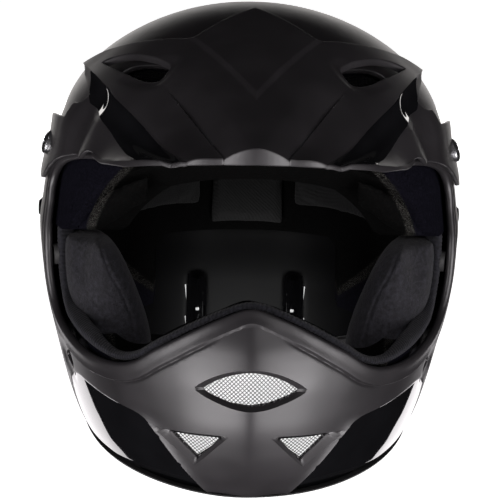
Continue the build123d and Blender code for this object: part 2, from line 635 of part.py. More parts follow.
# ratchet buckle: housing on the left strap, toothed tongue on the right strap
HOUSING_L, HOUSING_W, HOUSING_H = 40.0, 25.0, 11.0
HOUSING_Z = 33.5
LEVER_PIN_X, LEVER_PIN_Z = BUCKLE_X - 12.0, HOUSING_Z - 3.9
LEVER_PIN_R = 1.0
hub = Plane(origin=(BUCKLE_X, STRAP_Y + Y_SHIFT, HOUSING_Z))
with BuildPart() as buckle_housing:
    with BuildSketch(hub.offset(-HOUSING_H / 2)):
        RectangleRounded(HOUSING_L, HOUSING_W, 5)
    extrude(amount=HOUSING_H)
    chamfer(buckle_housing.faces().sort_by(Axis.Z)[-1].edges(), 1.2)
    # channel for the tongue, open towards the middle of the strap
    with BuildSketch(Plane(origin=(BUCKLE_X + HOUSING_L / 2 + 1, STRAP_Y + Y_SHIFT, HOUSING_Z + 0.2), x_dir=(0, 1, 0),
                           z_dir=(-1, 0, 0))):
        Rectangle(15.0, 3.6)
    extrude(amount=33.0, mode=Mode.SUBTRACT)
    # well for the lever, open downwards
    with BuildSketch(Plane(origin=(BUCKLE_X + 1.5, STRAP_Y + Y_SHIFT, HOUSING_Z - HOUSING_H / 2 - 1))):
        Rectangle(HOUSING_L + 5, 15.4)
    extrude(amount=4.4, mode=Mode.SUBTRACT)
    # slot that takes the sewn end of the left strap
    with BuildSketch(Plane(origin=(BUCKLE_X - HOUSING_L / 2 - 1, STRAP_Y + Y_SHIFT, HOUSING_Z + 1.9), x_dir=(0, 1, 0),
                           z_dir=(1, 0, 0))):
        Rectangle(STRAP_W + 0.8, 3.8)
    extrude(amount=5.5, mode=Mode.SUBTRACT)
    # bore for the lever pin
    with BuildSketch(Plane(origin=(LEVER_PIN_X, STRAP_Y + Y_SHIFT + 20, LEVER_PIN_Z), x_dir=(1, 0, 0), z_dir=(0, -1, 0))):
        Circle(LEVER_PIN_R)
    extrude(amount=40, mode=Mode.SUBTRACT)
keep(buckle_housing, "buckle_housing")

with BuildPart() as buckle_pin:
    with BuildSketch(Plane(origin=(LEVER_PIN_X, STRAP_Y + Y_SHIFT + 10.5, LEVER_PIN_Z), x_dir=(1, 0, 0), z_dir=(0, -1, 0))):
        Circle(LEVER_PIN_R)
    extrude(amount=21)
keep(buckle_pin, "buckle_pin")

with BuildPart() as buckle_lever:
    with BuildSketch(Plane(origin=(BUCKLE_X + 3.0, STRAP_Y + Y_SHIFT, HOUSING_Z - HOUSING_H / 2 - 0.8))):
        RectangleRounded(33.0, 14.6, 3)
    extrude(amount=2.6)
    with BuildSketch(Plane(origin=(LEVER_PIN_X, STRAP_Y + Y_SHIFT + 7.3, LEVER_PIN_Z), x_dir=(1, 0, 0), z_dir=(0, -1, 0))):
        Circle(1.7)
    extrude(amount=14.6)
    with BuildSketch(Plane(origin=(LEVER_PIN_X, STRAP_Y + Y_SHIFT + 12, LEVER_PIN_Z), x_dir=(1, 0, 0), z_dir=(0, -1, 0))):
        Circle(LEVER_PIN_R + 0.05)
    extrude(amount=24, mode=Mode.SUBTRACT)
keep(buckle_lever, "buckle_lever")

with BuildPart() as buckle_tongue:
    with BuildSketch(Plane(origin=(-40.5, STRAP_Y + Y_SHIFT, HOUSING_Z - 1.2))):
        RectangleRounded(41.0, 14.0, 4)
    extrude(amount=1.9)
    with BuildSketch(Plane(origin=(0, STRAP_Y + Y_SHIFT + 5.5, 0), x_dir=(1, 0, 0), z_dir=(0, -1, 0))):
        teeth = [(-59.0, HOUSING_Z + 0.6)]
        for i in range(9):
            teeth += [(-58.0 + i * 3.4, HOUSING_Z + 1.6), (-58.0 + i * 3.4 + 3.3, HOUSING_Z + 0.75)]
        teeth += [(-27.0, HOUSING_Z + 0.6)]
        Polygon(*teeth, align=None)
    extrude(amount=11)
keep(buckle_tongue, "buckle_tongue")

# clamp that joins the tongue to the webbing, and the keeper ring for the loose end
with BuildPart() as tongue_clamp:
    with BuildSketch(Plane(origin=(-18.5, STRAP_Y + Y_SHIFT, 30.2 - 1.8))):
        RectangleRounded(10.0, STRAP_W + 3.4, 1.5)
    extrude(amount=8.0)
    with BuildSketch(Plane(origin=(-12, STRAP_Y + Y_SHIFT, 31.2), x_dir=(0, 1, 0), z_dir=(-1, 0, 0))):
        Rectangle(STRAP_W + 0.4, STRAP_T + 0.4)
    extrude(amount=6.0, mode=Mode.SUBTRACT)
    with BuildSketch(Plane(origin=(-24.5, STRAP_Y + Y_SHIFT, HOUSING_Z - 0.25), x_dir=(0, 1, 0), z_dir=(1, 0, 0))):
        Rectangle(14.3, 2.2)
    extrude(amount=4.7, mode=Mode.SUBTRACT)
keep(tongue_clamp, "tongue_clamp")

# ============================================================== cheek snaps
with BuildPart() as cheek_pad_snaps:
    for side in (1, -1):
        for y, z in ((-78, 62), (-46, 62), (-56, 104)):
            x = side_x(y, z)
            n = Vector(side, side_x(y - 0.5, z) - side_x(y + 0.5, z), side_x(y, z - 0.5) - side_x(y, z + 0.5)).normalized()
            base = Vector(side * x, y + Y_SHIFT, z) - n * (WALL + 0.6)
            with BuildSketch(Plane(origin=base, z_dir=n * -1)):
                Circle(6.0)
            extrude(amount=2.5)
keep(cheek_pad_snaps, "cheek_pad_snaps")
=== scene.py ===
"""Looks of the full face helmet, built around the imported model.

Lengths in the helmet tables are millimetres in the helmet's own frame: x to the
viewer's right, y backwards with the widest section at y = 0, z up. to_world()
gives metres in the row frame.
"""
import math

import bpy
import numpy as np
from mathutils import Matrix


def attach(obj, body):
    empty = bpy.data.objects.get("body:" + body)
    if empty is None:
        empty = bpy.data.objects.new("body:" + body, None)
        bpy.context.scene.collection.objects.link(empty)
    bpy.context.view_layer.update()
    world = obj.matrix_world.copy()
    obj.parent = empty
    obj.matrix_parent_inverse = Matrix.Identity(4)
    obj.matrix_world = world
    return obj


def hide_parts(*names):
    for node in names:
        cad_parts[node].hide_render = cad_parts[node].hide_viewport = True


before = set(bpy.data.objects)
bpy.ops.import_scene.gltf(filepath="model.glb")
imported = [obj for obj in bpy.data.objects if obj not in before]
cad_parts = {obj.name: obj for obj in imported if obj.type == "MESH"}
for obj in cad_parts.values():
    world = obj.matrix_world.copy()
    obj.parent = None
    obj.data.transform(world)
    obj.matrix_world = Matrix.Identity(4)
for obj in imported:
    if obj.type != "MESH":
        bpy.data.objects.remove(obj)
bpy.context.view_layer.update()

Y_SHIFT = 30.0
TOP = 245.5
WAIST = 135.0
WALL = 4.0
RNG = np.random.default_rng(7)

WIDTH_Z = [0, 15, 30, 50, 75, 100, 118, 135, 150, 165, 180, 195, 208, 220, 230, 246]
WIDTH_V = [97, 103.5, 108.5, 113.6, 119.3, 123, 124.4, 122.2, 120.8, 120.5, 121.8, 124.8, 126.8, 127.6, 127.6, 127.6]
FRONT_Z = [0, 15, 30, 50, 65, 80, 95, 104, 115, 125, 135]
FRONT_V = [165, 176, 184, 191, 193, 191, 184, 176, 164, 154, 147]
BACK_Z = [0, 20, 50, 80, 110, 135]
BACK_V = [104, 114, 126, 135, 139.5, 140]
SQUARE_Z = [0, 60, 110, 160, 250]
SQUARE_V = [1.93, 1.9, 1.95, 2.03, 2.0]
PORT = np.array([(0, -176.4, 103.6), (15.6, -178.5, 99.6), (30.9, -178.5, 92.6), (48.9, -172, 81.4), (59.8, -163, 72.5),
                 (66.4, -155.7, 68.7), (73.2, -146.6, 66.3), (80.3, -135.9, 65.1), (87.7, -122.8, 64.8), (94.6, -108.9, 66),
                 (101.1, -93.8, 68.5), (107.2, -77, 73), (111.4, -67, 80), (113.5, -62, 90), (114.4, -60, 101), (114.8, -58.5, 113),
                 (115.2, -55, 125), (115, -52, 136), (113.5, -52, 147), (109, -60, 156.5), (100, -76, 163), (84, -103, 168.5),
                 (64, -122, 172.8), (36, -137, 175), (0, -142.6, 176)], float)
PORT_APEX = np.array([0.0, 50.0, 112.0])


# ------------------------------------------------------------------ numbers
def table(x, xs, ys):
    """Shape preserving cubic through a table, for arrays."""
    xs = np.asarray(xs, float)
    ys = np.asarray(ys, float)
    h = np.diff(xs)
    d = np.diff(ys) / h
    m = np.zeros_like(ys)
    m[0], m[-1] = d[0], d[-1]
    for i in range(1, len(ys) - 1):
        if d[i - 1] * d[i] > 0:
            w1, w2 = 2 * h[i] + h[i - 1], h[i] + 2 * h[i - 1]
            m[i] = (w1 + w2) / (w1 / d[i - 1] + w2 / d[i])
    x = np.clip(np.asarray(x, float), xs[0], xs[-1])
    i = np.clip(np.searchsorted(xs, x) - 1, 0, len(xs) - 2)
    t = (x - xs[i]) / h[i]
    return ((2 * t**3 - 3 * t**2 + 1) * ys[i] + (t**3 - 2 * t**2 + t) * h[i] * m[i]
            + (3 * t**2 - 2 * t**3) * ys[i + 1] + (t**3 - t**2) * h[i] * m[i + 1])


def smoothstep(a, b, x):
    t = np.clip((x - a) / (b - a), 0, 1)
    return t * t * (3 - 2 * t)


def ramp(a, b, x):
    return np.clip((x - a) / (b - a), 0, 1)


def unit(v):
    return v / np.maximum(np.linalg.norm(v, axis=-1, keepdims=True), 1e-12)


def curve_through(points, closed=False, per=10):
    """Centripetal Catmull-Rom curve through points, sampled."""
    p = np.asarray(points, float)
    n = len(p)
    if closed:
        idx = np.arange(-1, n + 2) % n
        q = p[idx]
        spans_ = n
    else:
        q = np.vstack([2 * p[0] - p[1], p, 2 * p[-1] - p[-2]])
        spans_ = n - 1
    out = []
    for i in range(spans_):
        a, b, c, d = q[i], q[i + 1], q[i + 2], q[i + 3]
        t0 = 0.0
        t1 = t0 + max(np.linalg.norm(b - a), 1e-6) ** 0.5
        t2 = t1 + max(np.linalg.norm(c - b), 1e-6) ** 0.5
        t3 = t2 + max(np.linalg.norm(d - c), 1e-6) ** 0.5
        t = np.linspace(t1, t2, per, endpoint=False)[:, None]
        a1 = (t1 - t) / (t1 - t0) * a + (t - t0) / (t1 - t0) * b
        a2 = (t2 - t) / (t2 - t1) * b + (t - t1) / (t2 - t1) * c
        a3 = (t3 - t) / (t3 - t2) * c + (t - t2) / (t3 - t2) * d
        b1 = (t2 - t) / (t2 - t0) * a1 + (t - t0) / (t2 - t0) * a2
        b2 = (t3 - t) / (t3 - t1) * a2 + (t - t1) / (t3 - t1) * a3
        out.append((t2 - t) / (t2 - t1) * b1 + (t - t1) / (t2 - t1) * b2)
    out = np.vstack(out)
    if not closed:
        out = np.vstack([out, p[-1]])
    return out


def line_distance(p, line, closed=False, reach=None):
    """Distance from points to a polyline in any dimension; beyond reach it is rough."""
    a = line if closed else line[:-1]
    b = np.roll(line, -1, 0) if closed else line[1:]
    ab = b - a
    l2 = np.maximum((ab**2).sum(1), 1e-12)
    out = np.empty(len(p))
    todo = np.arange(len(p))
    if reach is not None:
        rough = line[::8]
        for i in range(0, len(p), 16384):
            c = p[i:i + 16384]
            out[i:i + 16384] = np.sqrt(((c[:, None] - rough[None]) ** 2).sum(2).min(1))
        todo = np.nonzero(out < reach + np.sqrt(l2.max()) * 8)[0]
    for i in range(0, len(todo), 8192):
        k = todo[i:i + 8192]
        c = p[k]
        t = np.clip(((c[:, None] - a[None]) * ab[None]).sum(2) / l2, 0, 1)
        d = c[:, None] - (a[None] + t[..., None] * ab[None])
        out[k] = np.sqrt((d**2).sum(2).min(1))
    return out


def inside(p, poly):
    """Whether 2-D points lie in a closed polygon."""
    x, y = p[:, 0], p[:, 1]
    res = np.zeros(len(p), bool)
    a, b = poly, np.roll(poly, -1, 0)
    for (x0, y0), (x1, y1) in zip(a, b):
        if y0 == y1:
            continue
        hit = ((y0 > y) != (y1 > y)) & (x < (x1 - x0) * (y - y0) / (y1 - y0) + x0)
        res ^= hit
    return res


def outline_field(p2, poly):
    """Signed distance in a plane, negative inside the closed outline."""
    d = line_distance(p2, poly, closed=True)
    return np.where(inside(p2, poly), -d, d)


# --------------------------------------------------------------- shell form
def spans(z, off=0.0):
    s = np.clip((z - WAIST) / (TOP - off - WAIST), 0, 1)
    c = np.sqrt(np.clip(1 - s * s, 0, 1))
    low = np.minimum(z, WAIST)
    return ((table(z, WIDTH_Z, WIDTH_V) - off) * c, (table(low, FRONT_Z, FRONT_V) - off) * c,
            (table(low, BACK_Z, BACK_V) - off) * c)


def surface(th, u, off=0.0):
    """Base surface: th angle from the front (0) round the right side, u profile
    parameter: 0..1 the side wall from z = 0 to the waist, 1..2 the dome."""
    z = np.where(u <= 1, WAIST * u, WAIST + (TOP - off - WAIST) * np.sin(np.clip(u - 1, 0, 1) * np.pi / 2))
    c = np.where(u <= 1, 1.0, np.cos(np.clip(u - 1, 0, 1) * np.pi / 2))
    low = np.minimum(z, WAIST)
    w = (table(z, WIDTH_Z, WIDTH_V) - off) * c
    f = (table(low, FRONT_Z, FRONT_V) - off) * c
    b = (table(low, BACK_Z, BACK_V) - off) * c
    s, k = np.abs(np.sin(th)), np.cos(th)
    reach = np.where(k >= 0, f, b)
    n = np.where(k >= 0, table(z, SQUARE_Z, SQUARE_V), 2.08)
    tiny = 1e-6
    q = ((s / np.maximum(w, tiny)) ** n + (np.abs(k) / np.maximum(reach, tiny)) ** n)
    r = q ** (-1 / n)
    return np.stack([r * np.sin(th), -r * np.cos(th), z + 0 * th], -1)


def surface_normal(th, u, off=0.0):
    e = 1e-3
    u0, u1 = np.clip(u - e, -1, 1.9985), np.clip(u + e, -1, 1.9995)
    du = surface(th, u1, off) - surface(th, u0, off)
    dt = surface(th + e, np.minimum(u, 1.9985), off) - surface(th - e, np.minimum(u, 1.9985), off)
    n = unit(np.cross(dt, du))
    n[u > 1.997] = (0, 0, 1)
    return n


def implicit(p, off=0.0):
    """Below 1 inside the base surface."""
    w, f, b = spans(p[..., 2], off)
    front = p[..., 1] < 0
    n = np.where(front, table(p[..., 2], SQUARE_Z, SQUARE_V), 2.08)
    reach = np.maximum(np.where(front, f, b), 1e-3)
    return (np.abs(p[..., 0]) / np.maximum(w, 1e-3)) ** n + (np.abs(p[..., 1]) / reach) ** n


def onto_shell(points, origin, off=0.0):
    """Moves points along rays from origin until they meet the base surface."""
    p = np.asarray(points, float)
    d = p - origin
    lo, hi = np.full(len(p), 0.3), np.full(len(p), 1.8)
    for _ in range(40):
        mid = (lo + hi) / 2
        q = origin + d * mid[:, None]
        out = (implicit(q, off) > 1) | (q[:, 2] > TOP - off)
        hi = np.where(out, mid, hi)
        lo = np.where(out, lo, mid)
    return origin + d * hi[:, None]


def front_on_shell(xz, off=0.0):
    """Points of the front of the shell above (x, z) pairs seen from the front."""
    xz = np.asarray(xz, float)
    w, f, b = spans(xz[:, 1], off)
    n = table(xz[:, 1], SQUARE_Z, SQUARE_V)
    y = -f * np.clip(1 - (np.abs(xz[:, 0]) / w) ** n, 0, 1) ** (1 / n)
    return np.column_stack([xz[:, 0], y, xz[:, 1]])


def side_x(y, z, off=0.0):
    w, f, b = spans(z, off)
    front = y < 0
    n = np.where(front, table(z, SQUARE_Z, SQUARE_V), 2.08)
    t = np.abs(y) / np.where(front, f, b)
    return w * np.clip(1 - t**n, 0, 1) ** (1 / n)


def to_world(p):
    p = np.array(p, float)
    p[..., 1] += Y_SHIFT
    return p * 0.001


# ------------------------------------------------------------ triangle sheets
def grid(us, vs):
    """Triangle grid over parameters, (N, 2) and (M, 3)."""
    nu, nv = len(us), len(vs)
    V = np.stack(np.meshgrid(us, vs, indexing="ij"), -1).reshape(-1, 2)
    i, j = np.meshgrid(np.arange(nu - 1), np.arange(nv - 1), indexing="ij")
    a = i * nv + j
    b, c, d = a + nv, a + nv + 1, a + 1
    odd = ((i + j) % 2).astype(bool)
    T = np.where(odd[..., None, None], np.stack([np.stack([a, b, c], -1), np.stack([a, c, d], -1)], -2),
                 np.stack([np.stack([a, b, d], -1), np.stack([b, c, d], -1)], -2))
    return V, T.reshape(-1, 3)


def cut(V, T, f, fun=None, fixed=None, snap=0.25):
    """Splits triangles along f = 0. V rows hold parameters; fun gives the field
    again at new points; fixed(V) marks points that may only slide on their border."""
    V, f = V.copy(), f.copy()
    E = np.sort(np.concatenate([T[:, [0, 1]], T[:, [1, 2]], T[:, [2, 0]]]), 1)
    E = np.unique(E, axis=0)
    fa, fb = f[E[:, 0]], f[E[:, 1]]
    k = fa * fb < 0
    E, fa, fb = E[k], fa[k], fb[k]
    t = fa / (fa - fb)
    held = fixed(V) if fixed is not None else np.zeros(len(V), int)
    free_a = (held[E[:, 0]] == 0) | (held[E[:, 0]] == held[E[:, 1]])
    free_b = (held[E[:, 1]] == 0) | (held[E[:, 1]] == held[E[:, 0]])
    who = np.concatenate([E[:, 0], E[:, 1]])
    other = np.concatenate([E[:, 1], E[:, 0]])
    tt = np.concatenate([t, 1 - t])
    ok = np.concatenate([free_a, free_b]) & (tt < snap)
    who, other, tt = who[ok], other[ok], tt[ok]
    order = np.argsort(-tt)
    who, other, tt = who[order], other[order], tt[order]
    W = V.copy()
    W[who] = V[who] + (V[other] - V[who]) * tt[:, None]
    moved = np.unique(who)
    V = W
    f[moved] = 0.0
    fa, fb = f[E[:, 0]], f[E[:, 1]]
    k = fa * fb < 0
    E, fa, fb = E[k], fa[k], fb[k]
    t = fa / (fa - fb)
    new = V[E[:, 0]] + (V[E[:, 1]] - V[E[:, 0]]) * t[:, None]
    if fun is not None and len(new):
        g = fun(new)
        same = g * fa > 0
        t2 = np.where(same, t + (1 - t) * g / np.where(same, g - fb, 1), t * fa / np.where(same, 1, fa - g))
        t2 = np.clip(t2, 0.03, 0.97)
        new = V[E[:, 0]] + (V[E[:, 1]] - V[E[:, 0]]) * t2[:, None]
    base = len(V)
    V = np.vstack([V, new])
    f = np.concatenate([f, np.zeros(len(new))])
    key = E[:, 0].astype(np.int64) * (base + 1) + E[:, 1]
    order = np.argsort(key)
    key = key[order]

    def mid(a, b):
        q = np.minimum(a, b).astype(np.int64) * (base + 1) + np.maximum(a, b)
        return base + order[np.searchsorted(key, q)]

    s = np.sign(f[T]).astype(int)
    both = (s.max(1) > 0) & (s.min(1) < 0)
    keep = T[~both]
    C, cs = T[both], s[both]
    zero = (cs == 0).any(1)
    out = [keep]
    A, sa = C[zero], cs[zero]
    if len(A):
        r = np.argmax(sa == 0, 1)
        A = np.take_along_axis(A, (r[:, None] + np.arange(3)) % 3, 1)
        m = mid(A[:, 1], A[:, 2])
        out += [np.column_stack([A[:, 0], A[:, 1], m]), np.column_stack([A[:, 0], m, A[:, 2]])]
    B, sb = C[~zero], cs[~zero]
    if len(B):
        lone = np.where(sb.sum(1) > 0, -1, 1)
        r = np.argmax(sb == lone[:, None], 1)
        B = np.take_along_axis(B, (r[:, None] + np.arange(3)) % 3, 1)
        m1, m2 = mid(B[:, 0], B[:, 1]), mid(B[:, 0], B[:, 2])
        out += [np.column_stack([B[:, 0], m1, m2]), np.column_stack([m1, B[:, 1], B[:, 2]]),
                np.column_stack([m1, B[:, 2], m2])]
    return V, np.vstack(out)


def side_of(T, f):
    """Sign of a field on each triangle after a cut."""
    g = f[T]
    i = np.argmax(np.abs(g), 1)
    return np.sign(g[np.arange(len(T)), i])


def compact(T, *arrays):
    used = np.unique(T)
    remap = np.full(T.max() + 1, -1)
    remap[used] = np.arange(len(used))
    return (remap[T],) + tuple(a[used] for a in arrays)


def border_edges(T):
    """Directed edges that belong to one triangle only."""
    E = np.concatenate([T[:, [0, 1]], T[:, [1, 2]], T[:, [2, 0]]])
    key = np.sort(E, 1)
    _, inv, n = np.unique(key, axis=0, return_inverse=True, return_counts=True)
    return E[n[inv.ravel()] == 1]


def mesh_object(name, P, F, material=None, slots=None, index=None, smooth=True, sharp=None, scale=True):
    """Object from points (helmet mm) and faces, an array or a list of arrays."""
    faces = F if isinstance(F, list) else [F]
    loops = np.concatenate([f.reshape(-1) for f in faces]).astype(np.int32)
    sizes = np.concatenate([np.full(len(f), f.shape[1]) for f in faces])
    starts = np.concatenate([[0], np.cumsum(sizes)[:-1]]).astype(np.int32)
    me = bpy.data.meshes.new(name)
    me.vertices.add(len(P))
    me.vertices.foreach_set("co", (to_world(P) if scale else np.asarray(P, float)).astype(np.float32).ravel())
    me.loops.add(len(loops))
    me.loops.foreach_set("vertex_index", loops)
    me.polygons.add(len(sizes))
    me.polygons.foreach_set("loop_start", starts)
    for m in (slots or ([material] if material else [])):
        me.materials.append(m)
    if index is not None:
        me.polygons.foreach_set("material_index", np.asarray(index, np.int32))
    me.update(calc_edges=True)
    me.validate()
    me.polygons.foreach_set("use_smooth", np.full(len(me.polygons), bool(smooth)))
    if sharp is not None:
        me.set_sharp_from_angle(angle=math.radians(sharp))
    o = bpy.data.objects.new(name, me)
    bpy.context.scene.collection.objects.link(o)
    return o


def point_attribute(o, name, values):
    a = o.data.attributes.new(name, "FLOAT", "POINT")
    a.data.foreach_set("value", np.asarray(values, np.float32))


def mirror_half(P, F, on_plane, *per_face):
    """Adds the x < 0 half. F is an array of triangles; points on the plane weld."""
    n = len(P)
    twin = np.arange(n) + n
    twin[on_plane] = np.nonzero(on_plane)[0]
    Q = P.copy()
    Q[:, 0] *= -1
    P2 = np.vstack([P, Q])
    F2 = np.vstack([F, twin[F][:, ::-1]])
    F2, P2 = compact(F2, P2)
    return (P2, F2) + tuple(np.concatenate([a, a]) for a in per_face)


# ====================================================================== shell
def port_line():
    full = np.vstack([PORT, PORT[-2:0:-1] * (-1, 1, 1)])
    return onto_shell(curve_through(full, closed=True, per=12), PORT_APEX)


PORT_LINE = port_line()


def apex_view(p):
    d = PORT_APEX[1] - p[:, 1]
    d = np.where(d > 1, d, 1)
    return np.column_stack([p[:, 0] / d, (p[:, 2] - PORT_APEX[2]) / d])


PORT_VIEW = apex_view(PORT_LINE)
PORT_HALF = np.vstack([PORT_LINE[-14:], PORT_LINE[:len(PORT_LINE) // 2 + 14]])


def port_field(p):
    d = np.full(len(p), 60.0)
    near = (p[:, 1] < -25) & (p[:, 2] > 30)
    q = p[near]
    half = line_distance(q, PORT_HALF, reach=16)
    s = np.where(inside(apex_view(q), PORT_VIEW), -1.0, 1.0)
    d[near] = np.minimum(half, 60) * s
    return d


def smooth_outline(points, per=8, closed=True):
    return curve_through(np.asarray(points, float), closed=closed, per=per)


def cornered(parts, per=8):
    """Closed outline made of smooth runs that meet at corners."""
    out = []
    for run in parts:
        out.append(curve_through(np.asarray(run, float), per=per)[:-1])
    return np.vstack(out)


# eye shaped centre vent, seen from the front, (x, z)
CENTRE_EYE = cornered([[(29.4, 64.9), (24, 69.2), (16, 73.4), (8, 75.8), (0, 76.7), (-8, 75.8), (-16, 73.4), (-24, 69.2), (-29.4, 64.9)],
                       [(-29.4, 64.9), (-24, 61.8), (-16, 58.6), (-8, 56.3), (0, 55.5), (8, 56.3), (16, 58.6), (24, 61.8), (29.4, 64.9)]])
# three cornered mouth vent, outer rim, and the opening that shows the mesh
MOUTH_RIM = cornered([[(50.0, 37.9), (38, 38.8), (24, 39.9), (9.9, 41.0)], [(9.9, 41.0), (15.9, 34.0), (21.8, 26.8), (27.8, 19.4)],
                      [(27.8, 19.4), (35.2, 25.6), (42.6, 31.8), (50.0, 37.9)]])
MOUTH_HOLE = cornered([[(43.6, 36.2), (32, 37.0), (14.0, 38.0)], [(14.0, 38.0), (20.4, 30.4), (27.3, 21.4)],
                       [(27.3, 21.4), (35.3, 28.6), (43.6, 36.2)]])
JAW_NOTCH = smooth_outline([(-92, 57.5), (-82, 55.5), (-71, 51.5), (-69, 48.5), (-76, 46), (-85, 45), (-91, 47), (-94, 51.5)])  # (y, z)
BROW_SLOT = smooth_outline([(40, -93), (56, -92), (77, -76), (80, -69), (70, -68), (54, -79)])  # (x, y)
REAR_SLOT = smooth_outline([(20, 148), (34, 158), (62, 163), (66, 156), (58, 149), (38, 143), (24, 141)])  # (x, z)

# upper edge of the gloss panel on the jaw, from behind the jaw to the neck edge
PANEL_EDGE = [(108.6, -54, -4), (109, -60, 10), (107.2, -70, 27), (103.6, -80.5, 40), (97, -98, 46.3), (88, -115, 46.3), (78, -132, 44.8), (67, -147, 43.6),
              (57.5, -158, 42.5), (52.8, -162.5, 40.2), (48.6, -164.8, 35.2), (42.5, -166, 27.5), (35.5, -166, 18.5), (27, -164.5, 8.5), (21, -162, 1.5), (17, -160, -4)]
PANEL_LINE = curve_through(PANEL_EDGE, per=10)


def chart(p):
    return np.column_stack([np.arctan2(p[:, 0], -p[:, 1]) * 100, p[:, 2]])


PANEL_VIEW = chart(PANEL_LINE)
SHELL_EDGE = 1.5                     # height of the cut neck edge


def panel_field(p):
    """Negative on the gloss panel."""
    d = np.full(len(p), 60.0)
    near = (p[:, 2] < 75) & (p[:, 1] < 10)
    q = p[near]
    q2 = chart(q)
    line = np.vstack([PANEL_VIEW, [(PANEL_VIEW[-1, 0], -40), (PANEL_VIEW[0, 0], -40)]])
    s = np.where(inside(q2, line), -1.0, 1.0)
    on = onto_shell_by_chart(PANEL_LINE)
    d[near] = line_distance(q, on, reach=14) * s
    return d


def onto_shell_by_chart(line):
    """The line moved level onto the base surface."""
    th = np.arctan2(line[:, 0], -line[:, 1])
    return surface(th, line[:, 2] / WAIST)


def vent_fields(p):
    """Signed distance to each vent outline, one column per vent."""
    far = 60.0
    out = np.full((len(p), 5), far)
    m = (p[:, 1] < -130) & (p[:, 2] > 30) & (p[:, 2] < 100) & (p[:, 0] < 60)
    out[m, 0] = outline_field(p[m][:, [0, 2]], CENTRE_EYE)
    m = (p[:, 1] < -120) & (p[:, 2] > 5) & (p[:, 2] < 70) & (p[:, 0] < 75)
    out[m, 1] = outline_field(p[m][:, [0, 2]], MOUTH_HOLE)
    m = (p[:, 0] > 70) & (p[:, 2] > 15) & (p[:, 2] < 80) & (p[:, 1] < -45)
    out[m, 2] = outline_field(p[m][:, [1, 2]], JAW_NOTCH)
    m = (p[:, 2] > 190) & (p[:, 1] < -45)
    out[m, 3] = outline_field(p[m][:, [0, 1]], BROW_SLOT)
    m = (p[:, 1] > 80) & (p[:, 2] > 120) & (p[:, 2] < 185)
    out[m, 4] = outline_field(p[m][:, [0, 2]], REAR_SLOT)
    return out


def rim_field(p):
    out = np.full(len(p), 60.0)
    m = (p[:, 1] < -120) & (p[:, 2] > 0) & (p[:, 2] < 75) & (p[:, 0] < 80)
    out[m] = outline_field(p[m][:, [0, 2]], MOUTH_RIM)
    return out


def seg_distance(p, a, b):
    a, b = np.asarray(a, float), np.asarray(b, float)
    t = np.clip(((p - a) @ (b - a)) / ((b - a) @ (b - a)), 0, 1)
    return np.linalg.norm(p - (a + t[:, None] * (b - a)), axis=1), t


LIP_STEP = (8.7, 9.7)                # the raised band round the port ends here
LIP_RAISE = 1.0
PANEL_STEP = (-0.7, 0.5)


def shell_relief(p, F, G, R, J):
    """Height of the outside over the base surface. F port, G panel, R mouth vent
    rim and J jaw notch fields."""
    d = np.zeros(len(p))
    x, y, z = p.T
    # raised band round the port, slightly hollow, rolled at its inner edge
    band = 1 - ramp(*LIP_STEP, F)
    d += LIP_RAISE * band
    d -= 0.35 * np.exp(-((F - 5.6) / 2.4) ** 2) * band
    # the step sharpens into a groove in front
    d -= 0.75 * np.exp(-((F - 9.9) / 0.8) ** 2) * smoothstep(-146, -158, y) * smoothstep(14, 26, np.abs(x)) * smoothstep(110, 98, z)
    # soft ridge down the middle of the chin
    front = smoothstep(-60, -110, y) * smoothstep(125, 95, z)
    a, L = 3.2, 17.0
    d += front * (2.3 * (np.exp(-(np.sqrt(x * x + a * a) - a) / L) - 0.45) * np.exp(-(x / 70) ** 2))
    # gloss panel lies lower, most beside the mouth vent
    th = np.arctan2(x, -y)
    deep = 0.45 + 1.9 * smoothstep(0.62, 0.3, th) * smoothstep(48, 38, z)
    into = 1 - ramp(*PANEL_STEP, G)
    d -= deep * into
    # the matte side rises to a ridge beside the mouth vent
    d += 1.3 * smoothstep(0.62, 0.36, th) * np.exp(-np.maximum(G - 0.5, 0) / 3.0) * (1 - into) * smoothstep(46, 38, z)
    # facet of the mouth vent: sloped in towards the mesh
    depth = np.clip(-R, 0, 14)
    low = smoothstep(0.0, 9.0, depth)
    d -= 3.2 * np.where(R < 0, ramp(0, 2.6, depth), 0)
    # shallow dish that leads into the jaw notch, from behind
    d -= 1.6 * smoothstep(9, 0, J) * smoothstep(-95, -78, y)
    # roll of the neck edge
    d -= 0.7 * smoothstep(5.0, 1.5, z) ** 2
    return d


def shell_fields(th, u):
    p = surface(th, u)
    return p, port_field(p), panel_field(p), vent_fields(p), rim_field(p)


CENTRE_BEVEL = 2.6                   # width of the dark sloped wall of the centre vent


